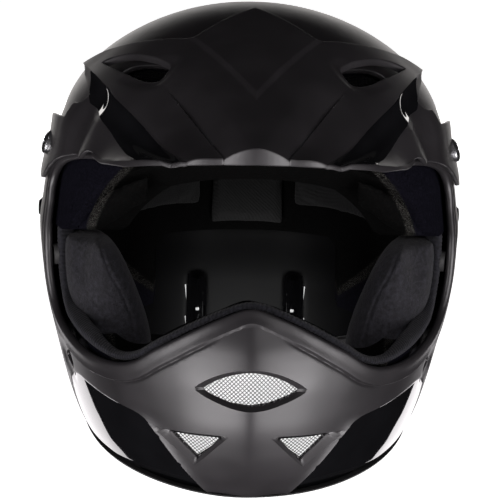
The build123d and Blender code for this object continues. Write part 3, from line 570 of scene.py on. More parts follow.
def build_shell():
    th = np.concatenate([np.linspace(0, 0.62, 84, endpoint=False), np.linspace(0.62, 1.75, 96, endpoint=False),
                         np.linspace(1.75, math.pi, 70)])
    u = np.concatenate([np.linspace(SHELL_EDGE / WAIST, 1.0, 100, endpoint=False), np.linspace(1.0, 1.6, 60, endpoint=False),
                        np.linspace(1.6, 1.995, 30)])
    V, T = grid(th, u)

    def held(v):
        h = np.zeros(len(v), int)
        h[v[:, 0] < 1e-9] = 1
        h[v[:, 0] > math.pi - 1e-9] = 2
        h[v[:, 1] < SHELL_EDGE / WAIST + 1e-9] = 3
        h[v[:, 1] > 1.9949] = 4
        return h

    def base(v):
        return surface(v[:, 0], v[:, 1])

    def port_cut(level):
        nonlocal V, T
        fun = lambda v: port_field(base(v)) - level
        V, T = cut(V, T, fun(V), fun, held)

    # open the port, then the vents
    port_cut(1.7)
    F = port_field(base(V)) - 1.7
    T = T[side_of(T, F) > 0]
    T, V = compact(T, V)
    for k, level in ((0, 0.0), (1, 0.0), (2, 0.0), (3, 0.0), (4, 0.0)):
        fun = lambda v: vent_fields(base(v))[:, k] - level
        f = fun(V)
        V, T = cut(V, T, f, fun, held)
        T = T[side_of(T, fun(V)) > 0]
        T, V = compact(T, V)
    for level in (3.0, 7.9, LIP_STEP[0], LIP_STEP[1], 10.1, 10.7, 11.6):
        port_cut(level)
    for level in (PANEL_STEP[0] - 0.5, PANEL_STEP[0], PANEL_STEP[1], PANEL_STEP[1] + 0.6):
        fun = lambda v: panel_field(base(v)) - level
        V, T = cut(V, T, fun(V), fun, held)
    for level in (0.0,):
        fun = lambda v: rim_field(base(v)) - level
        V, T = cut(V, T, fun(V), fun, held)
    return V, T


def border_frame(P, N, E, P_ref=None):
    """Unit vectors that point out of the sheet at each border point."""
    e = unit(P[E[:, 1]] - P[E[:, 0]])
    out = np.zeros_like(P)
    mid_n = N[E[:, 0]] + N[E[:, 1]]
    r = unit(np.cross(e, unit(mid_n)))
    np.add.at(out, E[:, 0], r)
    np.add.at(out, E[:, 1], r)
    return unit(out)


def wall(points, faces, groups, E, rows, last, group_id):
    """Bridges border edges E to the points `last` through rows of new points.
    rows is a list of (len(points), 3) arrays that are read at the border points."""
    ids = np.unique(E)
    remap = np.full(len(points[0]), -1)
    prev = None
    base = sum(len(p) for p in points)
    levels = []
    for r in rows:
        levels.append(base + np.arange(len(ids)))
        points.append(r[ids])
        base += len(ids)
    remap[ids] = np.arange(len(ids))
    ea, eb = remap[E[:, 0]], remap[E[:, 1]]
    chain = [ids] + levels + [last[ids]]
    for lo, hi in zip(chain[:-1], chain[1:]):
        a, b, c, d = lo[ea], lo[eb], hi[eb], hi[ea]
        faces.append(np.column_stack([b, a, d]))
        faces.append(np.column_stack([b, d, c]))
        groups.append(np.full(2 * len(E), group_id))


def shell_object(satin, gloss, inner_gloss):
    V, T = build_shell()
    th, u = V.T
    p, F, G, W, R = shell_fields(th, u)
    n = surface_normal(th, u)
    P = p + n * shell_relief(p, F, G, R, W[:, 2])[:, None]
    P[th < 1e-9, 0] = 0
    P[th > math.pi - 1e-9, 0] = 0
    Q = surface(th, u, WALL)
    # two moulded ribs inside the back of the shell
    rib = 5.0 * np.exp(-((Q[:, 0] - 33) / 3.2) ** 2) * smoothstep(57, 50, Q[:, 2]) * (Q[:, 1] > 40)
    Q -= n * rib[:, None]
    Q[th < 1e-9, 0] = 0
    Q[th > math.pi - 1e-9, 0] = 0
    count = len(P)
    Gf = side_of(T, G - PANEL_STEP[0])
    outer_mat = np.where(Gf < 0, 1, 0)
    points = [P, Q]
    faces = [T, T[:, ::-1] + count]
    groups = [outer_mat, np.where(rib[T].max(1) > 0.35, 1, 2)]
    E = border_edges(T)
    a, b = E[:, 0], E[:, 1]
    on = lambda test: test[a] & test[b]
    plane = on(th < 1e-9) | on(th > math.pi - 1e-9)
    out = border_frame(P, n, E[~plane])
    middle = (th < 1e-9) | (th > math.pi - 1e-9)
    out[middle, 0] = 0
    out[middle] = unit(out[middle])
    n[middle, 0] = 0
    bottom = on(u < SHELL_EDGE / WAIST + 1e-6)
    crown = on(u > 1.9949)
    rest = ~(plane | bottom | crown)
    vent = np.argmin(np.abs(W), 1)
    near = np.abs(W).min(1)
    is_port = np.abs(F - 1.7) < 0.4
    is_port &= ~(near < 0.25)
    last = np.arange(count) + count

    def local(t, h):
        return P + out * t + n * h

    k = rest & on(is_port)
    arc = [math.radians(v) for v in (18, 36, 54, 72, 90, 108, 126, 144, 162)]
    rows = [local(2.05 * math.sin(v), -2.3 * (1 - math.cos(v))) for v in arc]
    wall(points, faces, groups, E[k], rows, last, 0)
    rest &= ~k
    # centre vent: a sloped wall down to a smaller outline
    k = rest & on(vent == 0)
    xz = np.column_stack([P[:, 0] * (1 - 5.0 / 29.4), 56.8 + (P[:, 2] - 55.5) * (17.0 / 21.2)])
    deep = front_on_shell(xz, 4.6)
    rows = [P + (deep - P) * s + n * r for s, r in ((0.05, 0.03), (0.12, -0.10), (0.2, -0.3), (0.45, -0.5), (0.75, -0.35), (1.0, 0.0))]
    rows.append(front_on_shell(xz, 5.2))
    wall(points, faces, groups, E[k], rows, last, 0)
    rest &= ~k
    # mouth vents
    k = rest & on(vent == 1)
    rows = [local(t, h) for t, h in ((0.12, -0.08), (0.25, -0.3), (0.32, -0.8), (0.4, -2.0))]
    wall(points, faces, groups, E[k], rows, last, 0)
    rest &= ~k
    k = rest & on(vent == 2)
    rows = [local(t, h) for t, h in ((0.3, -0.1), (0.55, -0.35), (0.7, -0.8), (0.8, -1.6), (0.8, -2.6))]
    wall(points, faces, groups, E[k], rows, last, 0)
    rest &= ~k
    rows = [local(t, h) for t, h in ((0.3, -0.1), (0.55, -0.35), (0.7, -0.8), (0.7, -2.6))]
    wall(points, faces, groups, E[rest], rows, last, 0)
    wall(points, faces, groups, E[bottom], [local(0.0, -0.6)], last, 0)
    # crown
    ec = E[crown]
    total = sum(len(q) for q in points)
    points.append(np.array([[0, 0, TOP], [0, 0, TOP - WALL]]))
    top_face = np.column_stack([ec[:, 1], ec[:, 0], np.full(len(ec), total)])
    faces += [top_face, np.column_stack([ec[:, 0] + count, ec[:, 1] + count, np.full(len(ec), total + 1)])]
    groups += [np.zeros(len(ec), int), np.full(len(ec), 2)]
    pts = np.vstack(points)
    fcs = np.vstack(faces)
    grp = np.concatenate(groups)
    pts, fcs, grp = mirror_half(pts, fcs, np.abs(pts[:, 0]) < 1e-6, grp)
    return mesh_object("shell", pts, fcs, slots=[satin, gloss, inner_gloss], index=grp, sharp=32)


# ====================================================================== visor
VISOR = np.array([(6, 251.0, 104, 209, 0, 140.0), (-12, 250.0, 100, 210.5, 0, 139.0), (-30, 248.8, 97.5, 211, 0, 143.0),
                  (-50, 245.8, 92, 210, 0, 155.0), (-70, 240.6, 86.5, 208, 96.5, 163.5), (-90, 233.9, 80, 205, 96.5, 167.5),
                  (-110, 226.8, 73, 201, 91.0, 167.5), (-130, 219.2, 64, 196, 82.5, 168.5), (-150, 211.0, 54.5, 190.0, 76.0, 171.0),
                  (-168, 203.2, 46, 184.2, 68.0, 175.2), (-184, 196.2, 38, 181.6, 58.0, 179.0), (-206, 186.9, 30, 180.6, 50.0, 180.0)], float)[::-1]
VISOR_Y = VISOR[:, 0]
REAR_LINE = np.array([(-5, -48.7), (0, -53.9), (32.4, -87.3), (44, -79.5), (56.2, -70.3), (72.2, -54.4), (84.2, -41.4), (97.3, -30.9), (160, -30.9)], float)
SIDE_CUT = np.array([(-30.9, 212), (-42, 206), (-60, 201.5), (-72, 198), (-71.5, 193.8), (-67, 192.4), (-62.5, 192.2), (-58, 183.5), (-47, 182.5),
                     (-32, 181.5), (-14, 179.5), (-9, 174), (-7, 163), (-9, 154), (-17, 147), (-27, 144.2), (-34, 145.5),
                     (-50, 155), (-62, 161.5), (-70, 130), (-20, 90), (60, 90), (60, 240), (-20, 240)], float)
LIP = np.array([(0, -200), (27, -196.5), (48, -186), (60.5, -173.5), (69.5, -158), (76.5, -141), (83, -123), (92.8, -101), (102.5, -82), (113, -66)], float)
LIP_CURVE = curve_through(np.vstack([LIP[:0:-1] * (-1, 1), LIP]), per=10)
VISOR_VENT = smooth_outline([(84.9, -56.4), (79.3, -60.8), (71.2, -68.8), (63.9, -77.8), (57, -87.3), (50, -97.3), (45, -106.2), (46.1, -110.6),
                             (50.4, -115.6), (54.9, -114.2), (62.5, -105.2), (72.4, -87.3), (79.4, -72.3), (83.6, -61.2)])
VENT_FRONT = (51.0, -118.2)
CREASE_END = (17.1, -199.0)
DIAMOND = [(32.4, -87.3), (0.0, -152.6)]


ARM_LIFT = [130, 140, 150, 160, 166, 174, 182, 196, 215], [3.1, 3.1, 3.5, 3.3, 3.4, 4.5, 6.0, 6.9, 7.2]


def arm_x(y, z):
    lift = table(z, ARM_LIFT[0], ARM_LIFT[1]) + 0.8 * np.clip((-52 - y) / 20, 0, 1)
    return side_x(y, z) + lift


def visor_sheet(y, s):
    """Outer face of the visor sheet: y station, s 0..1 centre to ridge, 1..2 ridge
    to lower edge."""
    zc = table(y, VISOR_Y, VISOR[:, 1])
    xr = table(y, VISOR_Y, VISOR[:, 2])
    zr = table(y, VISOR_Y, VISOR[:, 3])
    xl = table(y, VISOR_Y[:8], VISOR[:8, 4])
    zl = table(y, VISOR_Y, VISOR[:, 5])
    t = np.clip(s, 0, 1)
    x1 = xr * t
    z1 = zc - (zc - zr) * (0.62 * t**1.9 + 0.38 * t**3)
    q = np.clip(s - 1, 0, 1)
    z2 = zr + (zl - zr) * q
    ax = arm_x(y, z2)
    ax = xr + (ax - xr) * smoothstep(-0.12, 0.34, q)
    fx = xr + (xl - xr) * q**0.8
    w = smoothstep(-108, -68, y)
    x2 = fx + (ax - fx) * w
    top = s <= 1
    return np.stack([np.where(top, x1, x2), y + 0 * s, np.where(top, z1, z2)], -1)


def visor_outline(y, s):
    """Negative outside the cut outline of the sheet."""
    p = visor_sheet(y, s)
    xy, yz = p[:, :2], p[:, 1:]
    rear = line_distance(xy, REAR_LINE, reach=20)
    poly = np.vstack([REAR_LINE, [(160, 90), (-5, 90)]])
    rear = np.where(inside(xy, poly), -rear, rear)
    side = outline_field(yz, SIDE_CUT)
    lip = line_distance(xy, LIP_CURVE, reach=20)
    # corner between the lip curve and the side sheet
    poly = np.vstack([LIP_CURVE[len(LIP_CURVE) // 2:], [(116, -60), (200, -60), (200, -260), (0, -260)]])
    lip = np.where(inside(xy, poly) & (p[:, 1] < -60), -lip, lip)
    lip = np.where(p[:, 1] > -66, 30.0, lip)
    return np.where(s <= 1, rear, np.minimum(side, 40)), lip, p


def crease_field(p):
    """Signed distance in plan from the long crease, positive inside the V."""
    a, b = np.array(VENT_FRONT, float), np.array(CREASE_END, float)
    d = (b - a) / np.linalg.norm(b - a)
    q = p[:, :2] - a
    return q[:, 0] * d[1] - q[:, 1] * d[0]


def diamond_field(p):
    """Positive inside the diamond."""
    a, b = np.array(DIAMOND[0]), np.array(DIAMOND[1])
    d = (b - a) / np.linalg.norm(b - a)
    q = p[:, :2] - a
    return q[:, 0] * d[1] - q[:, 1] * d[0]


def nose_depth(y):
    return 0.7 + 3.5 * smoothstep(-104, -198, y)


def visor_relief(p, s, C, D, vent):
    """Change of height of the sheet, along its normal. C crease, D diamond and
    vent fields."""
    x, y, z = p.T
    top = (s <= 1.0).astype(float)
    g = nose_depth(y)
    ahead = smoothstep(-100, -122, y)
    w = 15.0
    flank = np.clip(1 - C / w, 0, 1) ** 1.7
    # the step fades out towards the ridge
    a, b = np.array(VENT_FRONT, float), np.array(CREASE_END, float)
    xk = a[0] + (b[0] - a[0]) * (y - a[1]) / (b[1] - a[1])
    xr = table(y, VISOR_Y, VISOR[:, 2])
    outer = 1 - smoothstep(0, 1, (x - xk) / np.maximum(xr - xk, 4))
    d = -g * np.where(C > 0, flank, outer) * ahead * top
    # middle of the nose
    d -= 0.045 * (np.sqrt(x * x + 1.0) - 1.0) * smoothstep(-120, -160, y) * top * (C > 0)
    # raised diamond with a bevelled edge
    d += 1.15 * ramp(-2.6, 0.2, D) * top
    # the sheet dips into the vent along its front edge
    d -= 1.5 * smoothstep(7.0, 0.0, vent) * smoothstep(-92, -106, y) * top
    # hollow of the gloss panel under the ridge
    q = np.clip(s - 1, 0, 1)
    d -= 1.2 * np.sin(np.clip(q * 2.2, 0, 1) * math.pi) ** 2 * smoothstep(-72, -90, y) * (s > 1)
    return d


RIM_LOW = [0, 8, 22, 37, 52, 60, 67, 72], [181.1, 180.7, 180.1, 178.9, 176.9, 175.0, 172.7, 171.0]


def visor_rim(y, x, z):
    """Height of the turned down front edge of the visor, down to a level line."""
    level = z - table(np.abs(x), RIM_LOW[0], RIM_LOW[1])
    w = smoothstep(71, 64, np.abs(x)) * smoothstep(-140, -152, y)
    return np.maximum(2.4, level) * w + 2.6 * (1 - w)


GLOSS_LOW = np.array([(-30, 199), (-60, 196.5), (-82.3, 193.4), (-98.3, 191.1), (-119.2, 186.7), (-135, 182.6), (-149.1, 180.0), (-160, 178.6), (-170.1, 178.4), (-186, 179.9), (-200, 184)], float)  # (y, z)


def visor_object(satin, gloss, under):
    y = np.linspace(6.0, -203.0, 176)
    s = np.concatenate([np.linspace(0, 1, 76, endpoint=False), np.linspace(1, 2, 56)])
    V, T = grid(y, s)

    def held(v):
        h = np.zeros(len(v), int)
        h[v[:, 1] < 1e-9] = 1
        h[v[:, 1] > 2 - 1e-9] = 2
        h[np.abs(v[:, 1] - 1) < 1e-9] = 3
        return h

    def keep(fun):
        nonlocal V, T
        V, T = cut(V, T, fun(V), fun, held)
        T = T[side_of(T, fun(V)) > 0]
        T, V = compact(T, V)

    keep(lambda v: np.where(visor_outline(v[:, 0], v[:, 1])[0] == 0, 1e-3, visor_outline(v[:, 0], v[:, 1])[0]))
    keep(lambda v: visor_outline(v[:, 0], v[:, 1])[1])
    keep(lambda v: outline_field(visor_sheet(v[:, 0], v[:, 1])[:, :2], VISOR_VENT) + 50 * (v[:, 1] > 1.0))
    for fun in (lambda v: np.where(v[:, 1] <= 1, crease_field(visor_sheet(v[:, 0], v[:, 1])), -30),
                lambda v: np.where(v[:, 1] <= 1, diamond_field(visor_sheet(v[:, 0], v[:, 1])) - 0.2, -30),
                lambda v: np.where(v[:, 1] <= 1, diamond_field(visor_sheet(v[:, 0], v[:, 1])) + 2.6, -30),
                lambda v: gloss_side(v),
                lambda v: visor_outline(v[:, 0], v[:, 1])[0] - 0.45,
                lambda v: visor_outline(v[:, 0], v[:, 1])[1] - 0.45,
                lambda v: outline_field(visor_sheet(v[:, 0], v[:, 1])[:, :2], VISOR_VENT) + 50 * (v[:, 1] > 1.0) - 0.45):
        V, T = cut(V, T, fun(V), fun, held)
    y, s = V.T
    p = visor_sheet(y, s)
    C, D = crease_field(p), diamond_field(p)
    vent = outline_field(p[:, :2], VISOR_VENT) + 50 * (s > 1.0)
    n = np.zeros_like(p)
    fn = np.cross(p[T[:, 1]] - p[T[:, 0]], p[T[:, 2]] - p[T[:, 0]])
    for k in range(3):
        np.add.at(n, T[:, k], fn)
    n[s < 1e-9, 0] = 0
    n = unit(n)
    P = p + n * visor_relief(p, s, C, D, vent)[:, None]
    P[s < 1e-9, 0] = 0
    Q = p - n * 2.6
    Q[s < 1e-9, 0] = 0
    Q[:, 2] = np.minimum(Q[:, 2], P[:, 2] - 1.2 * np.clip(n[:, 2], 0, 1))
    count = len(P)
    G = gloss_side(V)
    glossy = (side_of(T, G) > 0)
    points, faces = [P, Q], [T, T[:, ::-1] + count]
    groups = [np.where(glossy, 1, 0), np.full(len(T), 2)]
    E = border_edges(T)
    a, b = E[:, 0], E[:, 1]
    on = lambda test: test[a] & test[b]
    plane = on(s < 1e-9)
    N = np.zeros_like(P)
    fn = np.cross(P[T[:, 1]] - P[T[:, 0]], P[T[:, 2]] - P[T[:, 0]])
    for k in range(3):
        np.add.at(N, T[:, k], fn)
    N = unit(N)
    out = border_frame(P, N, E[~plane])
    out[s < 1e-9, 0] = 0
    out = unit(out)
    last = np.arange(count) + count
    fl = visor_outline(y, s)[1]
    is_lip = (np.abs(fl) < 0.35) & (y < -120)
    is_vent = np.abs(vent) < 0.3
    rest = ~plane
    # turned down front edge
    k = rest & on(is_lip)
    H = visor_rim(y, P[:, 0], P[:, 2])
    flat = out.copy()
    flat[:, 2] = 0
    flat = unit(flat)
    down = np.array([0, 0, -1.0])
    rows = [P + flat * t + down * h[:, None] for t, h in
            ((0.35, 0.12 + 0 * H), (0.6, 0.45 + 0 * H), (0.75, 1.0 + 0 * H), (0.9, 1.0 + 0.5 * (H - 1.6)), (1.0, H - 0.6), (0.75, H - 0.15), (0.2, H),
             (-0.9, H), (-1.3, H - 0.3))]
    wall(points, faces, groups, E[k], rows, last, 0)
    rest &= ~k
    # vent: tall walls
    k = rest & on(is_vent)
    rows = [P + out * t + N * h for t, h in ((0.3, -0.1), (0.6, -0.4), (0.9, -1.0), (1.6, -3.2), (1.7, -3.6), (1.3, -3.7))]
    wall(points, faces, groups, E[k], rows, last, 0)
    rest &= ~k
    rows = [P + out * t + N * h for t, h in ((0.3, -0.1), (0.5, -0.35), (0.6, -0.8), (0.6, -1.9), (0.4, -2.4))]
    wall(points, faces, groups, E[rest], rows, last, 0)
    pts, fcs, grp = np.vstack(points), np.vstack(faces), np.concatenate(groups)
    pts, fcs, grp = mirror_half(pts, fcs, np.abs(pts[:, 0]) < 1e-6, grp)
    return mesh_object("visor_sheet", pts, fcs, slots=[satin, gloss, under], index=grp, sharp=28)


def gloss_side(v):
    """Positive on the gloss side panel of the visor."""
    y, s = v.T
    p = visor_sheet(y, s)
    low = p[:, 2] - table(y, GLOSS_LOW[::-1, 0], GLOSS_LOW[::-1, 1])
    # the rear edge of the panel leans forward on its way down
    neck = -(y + 50.0) - (209.0 - p[:, 2]) * 1.9
    f = np.minimum(low, neck)
    return np.where(s > 1, f, -30)


# ================================================================== materials
def material(name):
    m = bpy.data.materials.new(name)
    m.use_nodes = True
    nt = m.node_tree
    return m, nt, nt.nodes["Principled BSDF"]


def node(nt, kind, **values):
    n = nt.nodes.new(kind)
    for k, v in values.items():
        if hasattr(n, k):
            setattr(n, k, v)
        else:
            n.inputs[k].default_value = v
    return n


def object_coordinates(nt):
    return node(nt, "ShaderNodeTexCoord").outputs["Object"]


def noise(nt, vector, scale, detail=3.0, rough=0.5):
    n = node(nt, "ShaderNodeTexNoise")
    n.inputs["Scale"].default_value = scale
    n.inputs["Detail"].default_value = detail
    n.inputs["Roughness"].default_value = rough
    nt.links.new(vector, n.inputs["Vector"])
    return n


def colour_ramp(nt, fac, stops):
    r = node(nt, "ShaderNodeValToRGB")
    e = r.color_ramp.elements
    e[0].position, e[0].color = stops[0][0], (*stops[0][1], 1)
    e[1].position, e[1].color = stops[-1][0], (*stops[-1][1], 1)
    for pos, col in stops[1:-1]:
        k = e.new(pos)
        k.color = (*col, 1)
    nt.links.new(fac, r.inputs["Fac"])
    return r.outputs["Color"]


def value_range(nt, value, lo, hi, a=0.0, b=1.0):
    m = node(nt, "ShaderNodeMapRange")
    m.inputs["From Min"].default_value = a
    m.inputs["From Max"].default_value = b
    m.inputs["To Min"].default_value = lo
    m.inputs["To Max"].default_value = hi
    nt.links.new(value, m.inputs["Value"])
    return m.outputs["Result"]


def bump(nt, shader, height, strength, distance, normal=None):
    b = node(nt, "ShaderNodeBump")
    b.inputs["Strength"].default_value = strength
    b.inputs["Distance"].default_value = distance
    nt.links.new(height, b.inputs["Height"])
    if normal is not None:
        nt.links.new(normal, b.inputs["Normal"])
    nt.links.new(b.outputs["Normal"], shader.inputs["Normal"])
    return b.outputs["Normal"]


def moulded(name, colour, rough, spread=0.03, grain=0.35, coat=0.0, coat_rough=0.1, sheen=0.0, specular=0.5):
    """Moulded or painted plastic: fine grain, cloudy roughness, faint colour change."""
    m, nt, sh = material(name)
    co = object_coordinates(nt)
    cloud = noise(nt, co, 38.0, 4.0)
    fine = noise(nt, co, 2600.0, 2.0)
    dark = tuple(c * 0.82 for c in colour)
    light = tuple(min(c * 1.18, 1) for c in colour)
    nt.links.new(colour_ramp(nt, cloud.outputs["Fac"], [(0.3, dark), (0.7, light)]), sh.inputs["Base Color"])
    nt.links.new(value_range(nt, cloud.outputs["Fac"], rough - spread, rough + spread, 0.25, 0.75), sh.inputs["Roughness"])
    sh.inputs["Specular IOR Level"].default_value = specular
    sh.inputs["Coat Weight"].default_value = coat
    sh.inputs["Coat Roughness"].default_value = coat_rough
    if sheen:
        sh.inputs["Sheen Weight"].default_value = sheen
        sh.inputs["Sheen Roughness"].default_value = 0.4
    if grain:
        bump(nt, sh, fine.outputs["Fac"], grain, 0.00004)
    return m


SATIN = moulded("satin_shell", (0.0125, 0.0115, 0.0125), 0.37, 0.02, 0.30)
SATIN_VISOR = moulded("satin_visor", (0.0125, 0.0115, 0.0125), 0.36, 0.02, 0.30)
GLOSS = moulded("gloss_panel", (0.0035, 0.0035, 0.004), 0.045, 0.012, 0.0, coat=0.6, coat_rough=0.02)
GLOSS_INSIDE = moulded("inside_gloss", (0.0012, 0.0012, 0.0014), 0.30, 0.03, 0.12, specular=0.03)
UNDER = moulded("visor_underside", (0.012, 0.012, 0.013), 0.5, 0.04, 0.5)


# ------------------------------------------------------ more materials
def fabric(name, dark, light, fuzz=1400.0, strength=0.55, depth=0.0005, rough=0.95, sheen=0.35, knit=0.0):
    """Brushed or knitted cloth: fibre clumps, fine pile, slow shade changes, sheen."""
    m, nt, sh = material(name)
    co = object_coordinates(nt)
    pile = noise(nt, co, fuzz, 4.0, 0.65)
    clump = noise(nt, co, fuzz * 0.45, 3.0, 0.6)
    slow = noise(nt, co, 26.0, 2.0)
    mix = node(nt, "ShaderNodeMath", operation="MULTIPLY_ADD")
    nt.links.new(pile.outputs["Fac"], mix.inputs[0])
    mix.inputs[1].default_value = 0.55
    nt.links.new(clump.outputs["Fac"], mix.inputs[2])
    mid = tuple((a + b) / 2 for a, b in zip(dark, light))
    tint = colour_ramp(nt, mix.outputs[0], [(0.5, dark), (0.78, mid), (1.0, light)])
    shade = node(nt, "ShaderNodeMix", data_type="RGBA", blend_type="MULTIPLY")
    shade.inputs[0].default_value = 1.0
    nt.links.new(tint, shade.inputs[6])
    nt.links.new(colour_ramp(nt, slow.outputs["Fac"], [(0.3, (0.8, 0.8, 0.8)), (0.7, (1, 1, 1))]), shade.inputs[7])
    nt.links.new(shade.outputs[2], sh.inputs["Base Color"])
    nt.links.new(value_range(nt, clump.outputs["Fac"], rough - 0.08, min(rough + 0.05, 1)), sh.inputs["Roughness"])
    sh.inputs["Specular IOR Level"].default_value = 0.25
    sh.inputs["Sheen Weight"].default_value = sheen
    sh.inputs["Sheen Roughness"].default_value = 0.45
    first = bump(nt, sh, mix.outputs[0], strength, depth)
    if knit:
        w = node(nt, "ShaderNodeTexWave", wave_type="BANDS", bands_direction="DIAGONAL")
        w.inputs["Scale"].default_value = knit
        w.inputs["Distortion"].default_value = 1.2
        w.inputs["Detail"].default_value = 1.0
        nt.links.new(co, w.inputs["Vector"])
        bump(nt, sh, w.outputs["Fac"], 0.4, depth, normal=first)
    return m


def bead_foam(name):
    """Black bead foam: flattened beads with dark seams, and glints painted into the colour as bright specks, full only
    on a lit strip by the cloth.
    """
    m, nt, sh = material(name)
    co = object_coordinates(nt)
    cell = node(nt, "ShaderNodeTexVoronoi", feature="F1")
    cell.inputs["Scale"].default_value = 330.0
    nt.links.new(co, cell.inputs["Vector"])
    edge = node(nt, "ShaderNodeTexVoronoi", feature="DISTANCE_TO_EDGE")
    edge.inputs["Scale"].default_value = 330.0
    nt.links.new(co, edge.inputs["Vector"])
    glint = noise(nt, co, 2400.0, 2.0, 0.7)
    base = colour_ramp(nt, edge.outputs["Distance"], [(0.0, (0.0003, 0.0003, 0.0003)), (0.08, (0.0007, 0.0007, 0.0007)), (1.0, (0.0012, 0.0012, 0.0011))])
    # painted glint: bright specks put into the base colour where the glint noise is high, standing for highlights on
    # the beads
    painted_glint = colour_ramp(nt, glint.outputs["Fac"], [(0.56, (0, 0, 0)), (0.70, (0.12, 0.116, 0.105))])
    # the edge of the eye port is bare; the face beside it carries dark cloth
    place = node(nt, "ShaderNodeSeparateXYZ")
    nt.links.new(co, place.inputs[0])
    across = node(nt, "ShaderNodeMath", operation="ABSOLUTE")
    nt.links.new(place.outputs["X"], across.inputs[0])
    high = node(nt, "ShaderNodeMath", operation="ADD")
    nt.links.new(place.outputs["Z"], high.inputs[0])
    high.inputs[1].default_value = -0.124
    square = node(nt, "ShaderNodeMath", operation="MULTIPLY")
    nt.links.new(high.outputs[0], square.inputs[0])
    nt.links.new(high.outputs[0], square.inputs[1])
    bend = node(nt, "ShaderNodeMath", operation="MULTIPLY_ADD")
    nt.links.new(high.outputs[0], bend.inputs[0])
    bend.inputs[1].default_value = 0.2
    nt.links.new(across.outputs[0], bend.inputs[2])
    level = node(nt, "ShaderNodeMath", operation="MULTIPLY_ADD")
    nt.links.new(square.outputs[0], level.inputs[0])
    level.inputs[1].default_value = 8.75
    nt.links.new(bend.outputs[0], level.inputs[2])
    bare = value_range(nt, level.outputs[0], 1.0, 0.0, 0.0906, 0.0914)
    pile = noise(nt, co, 1000.0, 4.0, 0.65)
    cloth = colour_ramp(nt, pile.outputs["Fac"], [(0.35, (0.0005, 0.0005, 0.0010)), (0.7, (0.0046, 0.0044, 0.0075))])
    # painted light and shade: the glint specks are full strength only on a narrow strip where the bare foam meets the
    # cloth, as if lit there; further in they drop to 3 %, painted shade
    painted_lit_strip = value_range(nt, level.outputs[0], 0.03, 1.0, 0.0855, 0.0868)
    add = node(nt, "ShaderNodeMix", data_type="RGBA", blend_type="ADD")
    nt.links.new(painted_lit_strip, add.inputs[0])
    nt.links.new(base, add.inputs[6])
    nt.links.new(painted_glint, add.inputs[7])
    pick = node(nt, "ShaderNodeMix", data_type="RGBA", blend_type="MIX")
    nt.links.new(bare, pick.inputs[0])
    nt.links.new(cloth, pick.inputs[6])
    nt.links.new(add.outputs[2], pick.inputs[7])
    nt.links.new(pick.outputs[2], sh.inputs["Base Color"])
    nt.links.new(value_range(nt, glint.outputs["Fac"], 0.88, 0.62, 0.4, 0.7), sh.inputs["Roughness"])
    sh.inputs["Specular IOR Level"].default_value = 0.02
    bump(nt, sh, edge.outputs["Distance"], 0.7, 0.0004)
    return m


def metal(name, colour, rough, spread=0.05, scale=900.0, strength=0.1, metallic=1.0):
    m, nt, sh = material(name)
    co = object_coordinates(nt)
    n = noise(nt, co, scale, 3.0)
    c = noise(nt, co, scale * 0.1, 2.0)
    nt.links.new(colour_ramp(nt, c.outputs["Fac"], [(0.3, tuple(v * 0.9 for v in colour)), (0.7, colour)]), sh.inputs["Base Color"])
    nt.links.new(value_range(nt, n.outputs["Fac"], rough - spread, rough + spread, 0.3, 0.7), sh.inputs["Roughness"])
    sh.inputs["Metallic"].default_value = metallic
    bump(nt, sh, n.outputs["Fac"], strength, 0.00002)
    return m


def webbing_material():
    m, nt, sh = material("webbing")
    co = object_coordinates(nt)
    wave = node(nt, "ShaderNodeTexWave", wave_type="BANDS", bands_direction="Y")
    wave.inputs["Scale"].default_value = 140.0
    nt.links.new(co, wave.inputs["Vector"])
    fine = noise(nt, co, 1900.0, 3.0, 0.6)
    tint = colour_ramp(nt, fine.outputs["Fac"], [(0.3, (0.006, 0.006, 0.007)), (0.7, (0.022, 0.022, 0.025))])
    nt.links.new(tint, sh.inputs["Base Color"])
    nt.links.new(value_range(nt, fine.outputs["Fac"], 0.62, 0.8), sh.inputs["Roughness"])
    sh.inputs["Sheen Weight"].default_value = 0.15
    first = bump(nt, sh, fine.outputs["Fac"], 0.4, 0.0002)
    bump(nt, sh, wave.outputs["Fac"], 0.25, 0.0002, normal=first)
    return m


PAD_CLOTH = fabric("brushed_pad", (0.0003, 0.0003, 0.0006), (0.0165, 0.016, 0.0205), 900.0, 0.9, 0.0008, sheen=0.03)

ROLL_CLOTH = fabric("knit_roll", (0.0008, 0.0008, 0.0014), (0.011, 0.011, 0.0155), 1100.0, 0.6, 0.0005, sheen=0.04)
LINING_CLOTH = fabric("lining_cloth", (0.0004, 0.0004, 0.0005), (0.0028, 0.0028, 0.0032), 1100.0, 0.7, 0.0005, sheen=0.02, knit=260.0)
STRAP_CLOTH = fabric("strap_sleeve", (0.006, 0.006, 0.007), (0.022, 0.022, 0.026), 2000.0, 0.4, 0.0003)
FOAM = bead_foam("bead_foam")
TEMPLE_CLOTH = bead_foam("temple_cloth")
WEBBING = webbing_material()
WIRE = metal("bright_wire", (0.13, 0.128, 0.13), 0.42, 0.06)
DARK_WIRE = metal("black_wire", (0.03, 0.03, 0.031), 0.42, 0.06)
CHROME = metal("chrome", (0.86, 0.87, 0.9), 0.24, 0.03, 500.0, 0.05)
PLATED = metal("plated_steel", (0.5, 0.5, 0.51), 0.3, 0.06)
DARK_METAL = metal("dark_rivet", (0.10, 0.10, 0.105), 0.24, 0.05)
RUBBER = moulded("edge_rubber", (0.010, 0.010, 0.010), 0.58, 0.05, 0.5)
NYLON = moulded("nylon", (0.02, 0.02, 0.02), 0.45, 0.05, 0.4)
BUCKLE = moulded("buckle_plastic", (0.012, 0.012, 0.012), 0.28, 0.05, 0.25)
LEVER = moulded("lever_plastic", (0.42, 0.018, 0.016), 0.3, 0.04, 0.2)


# -------------------------------------------------------------- woven meshes
def place_front(uv, off):
    w, f, b = spans(uv[:, 1], off)
    n = table(uv[:, 1], SQUARE_Z, SQUARE_V)
    y = -f * np.clip(1 - (np.abs(uv[:, 0]) / w) ** n, 0, 1) ** (1 / n)
    return np.column_stack([uv[:, 0], y, uv[:, 1]])


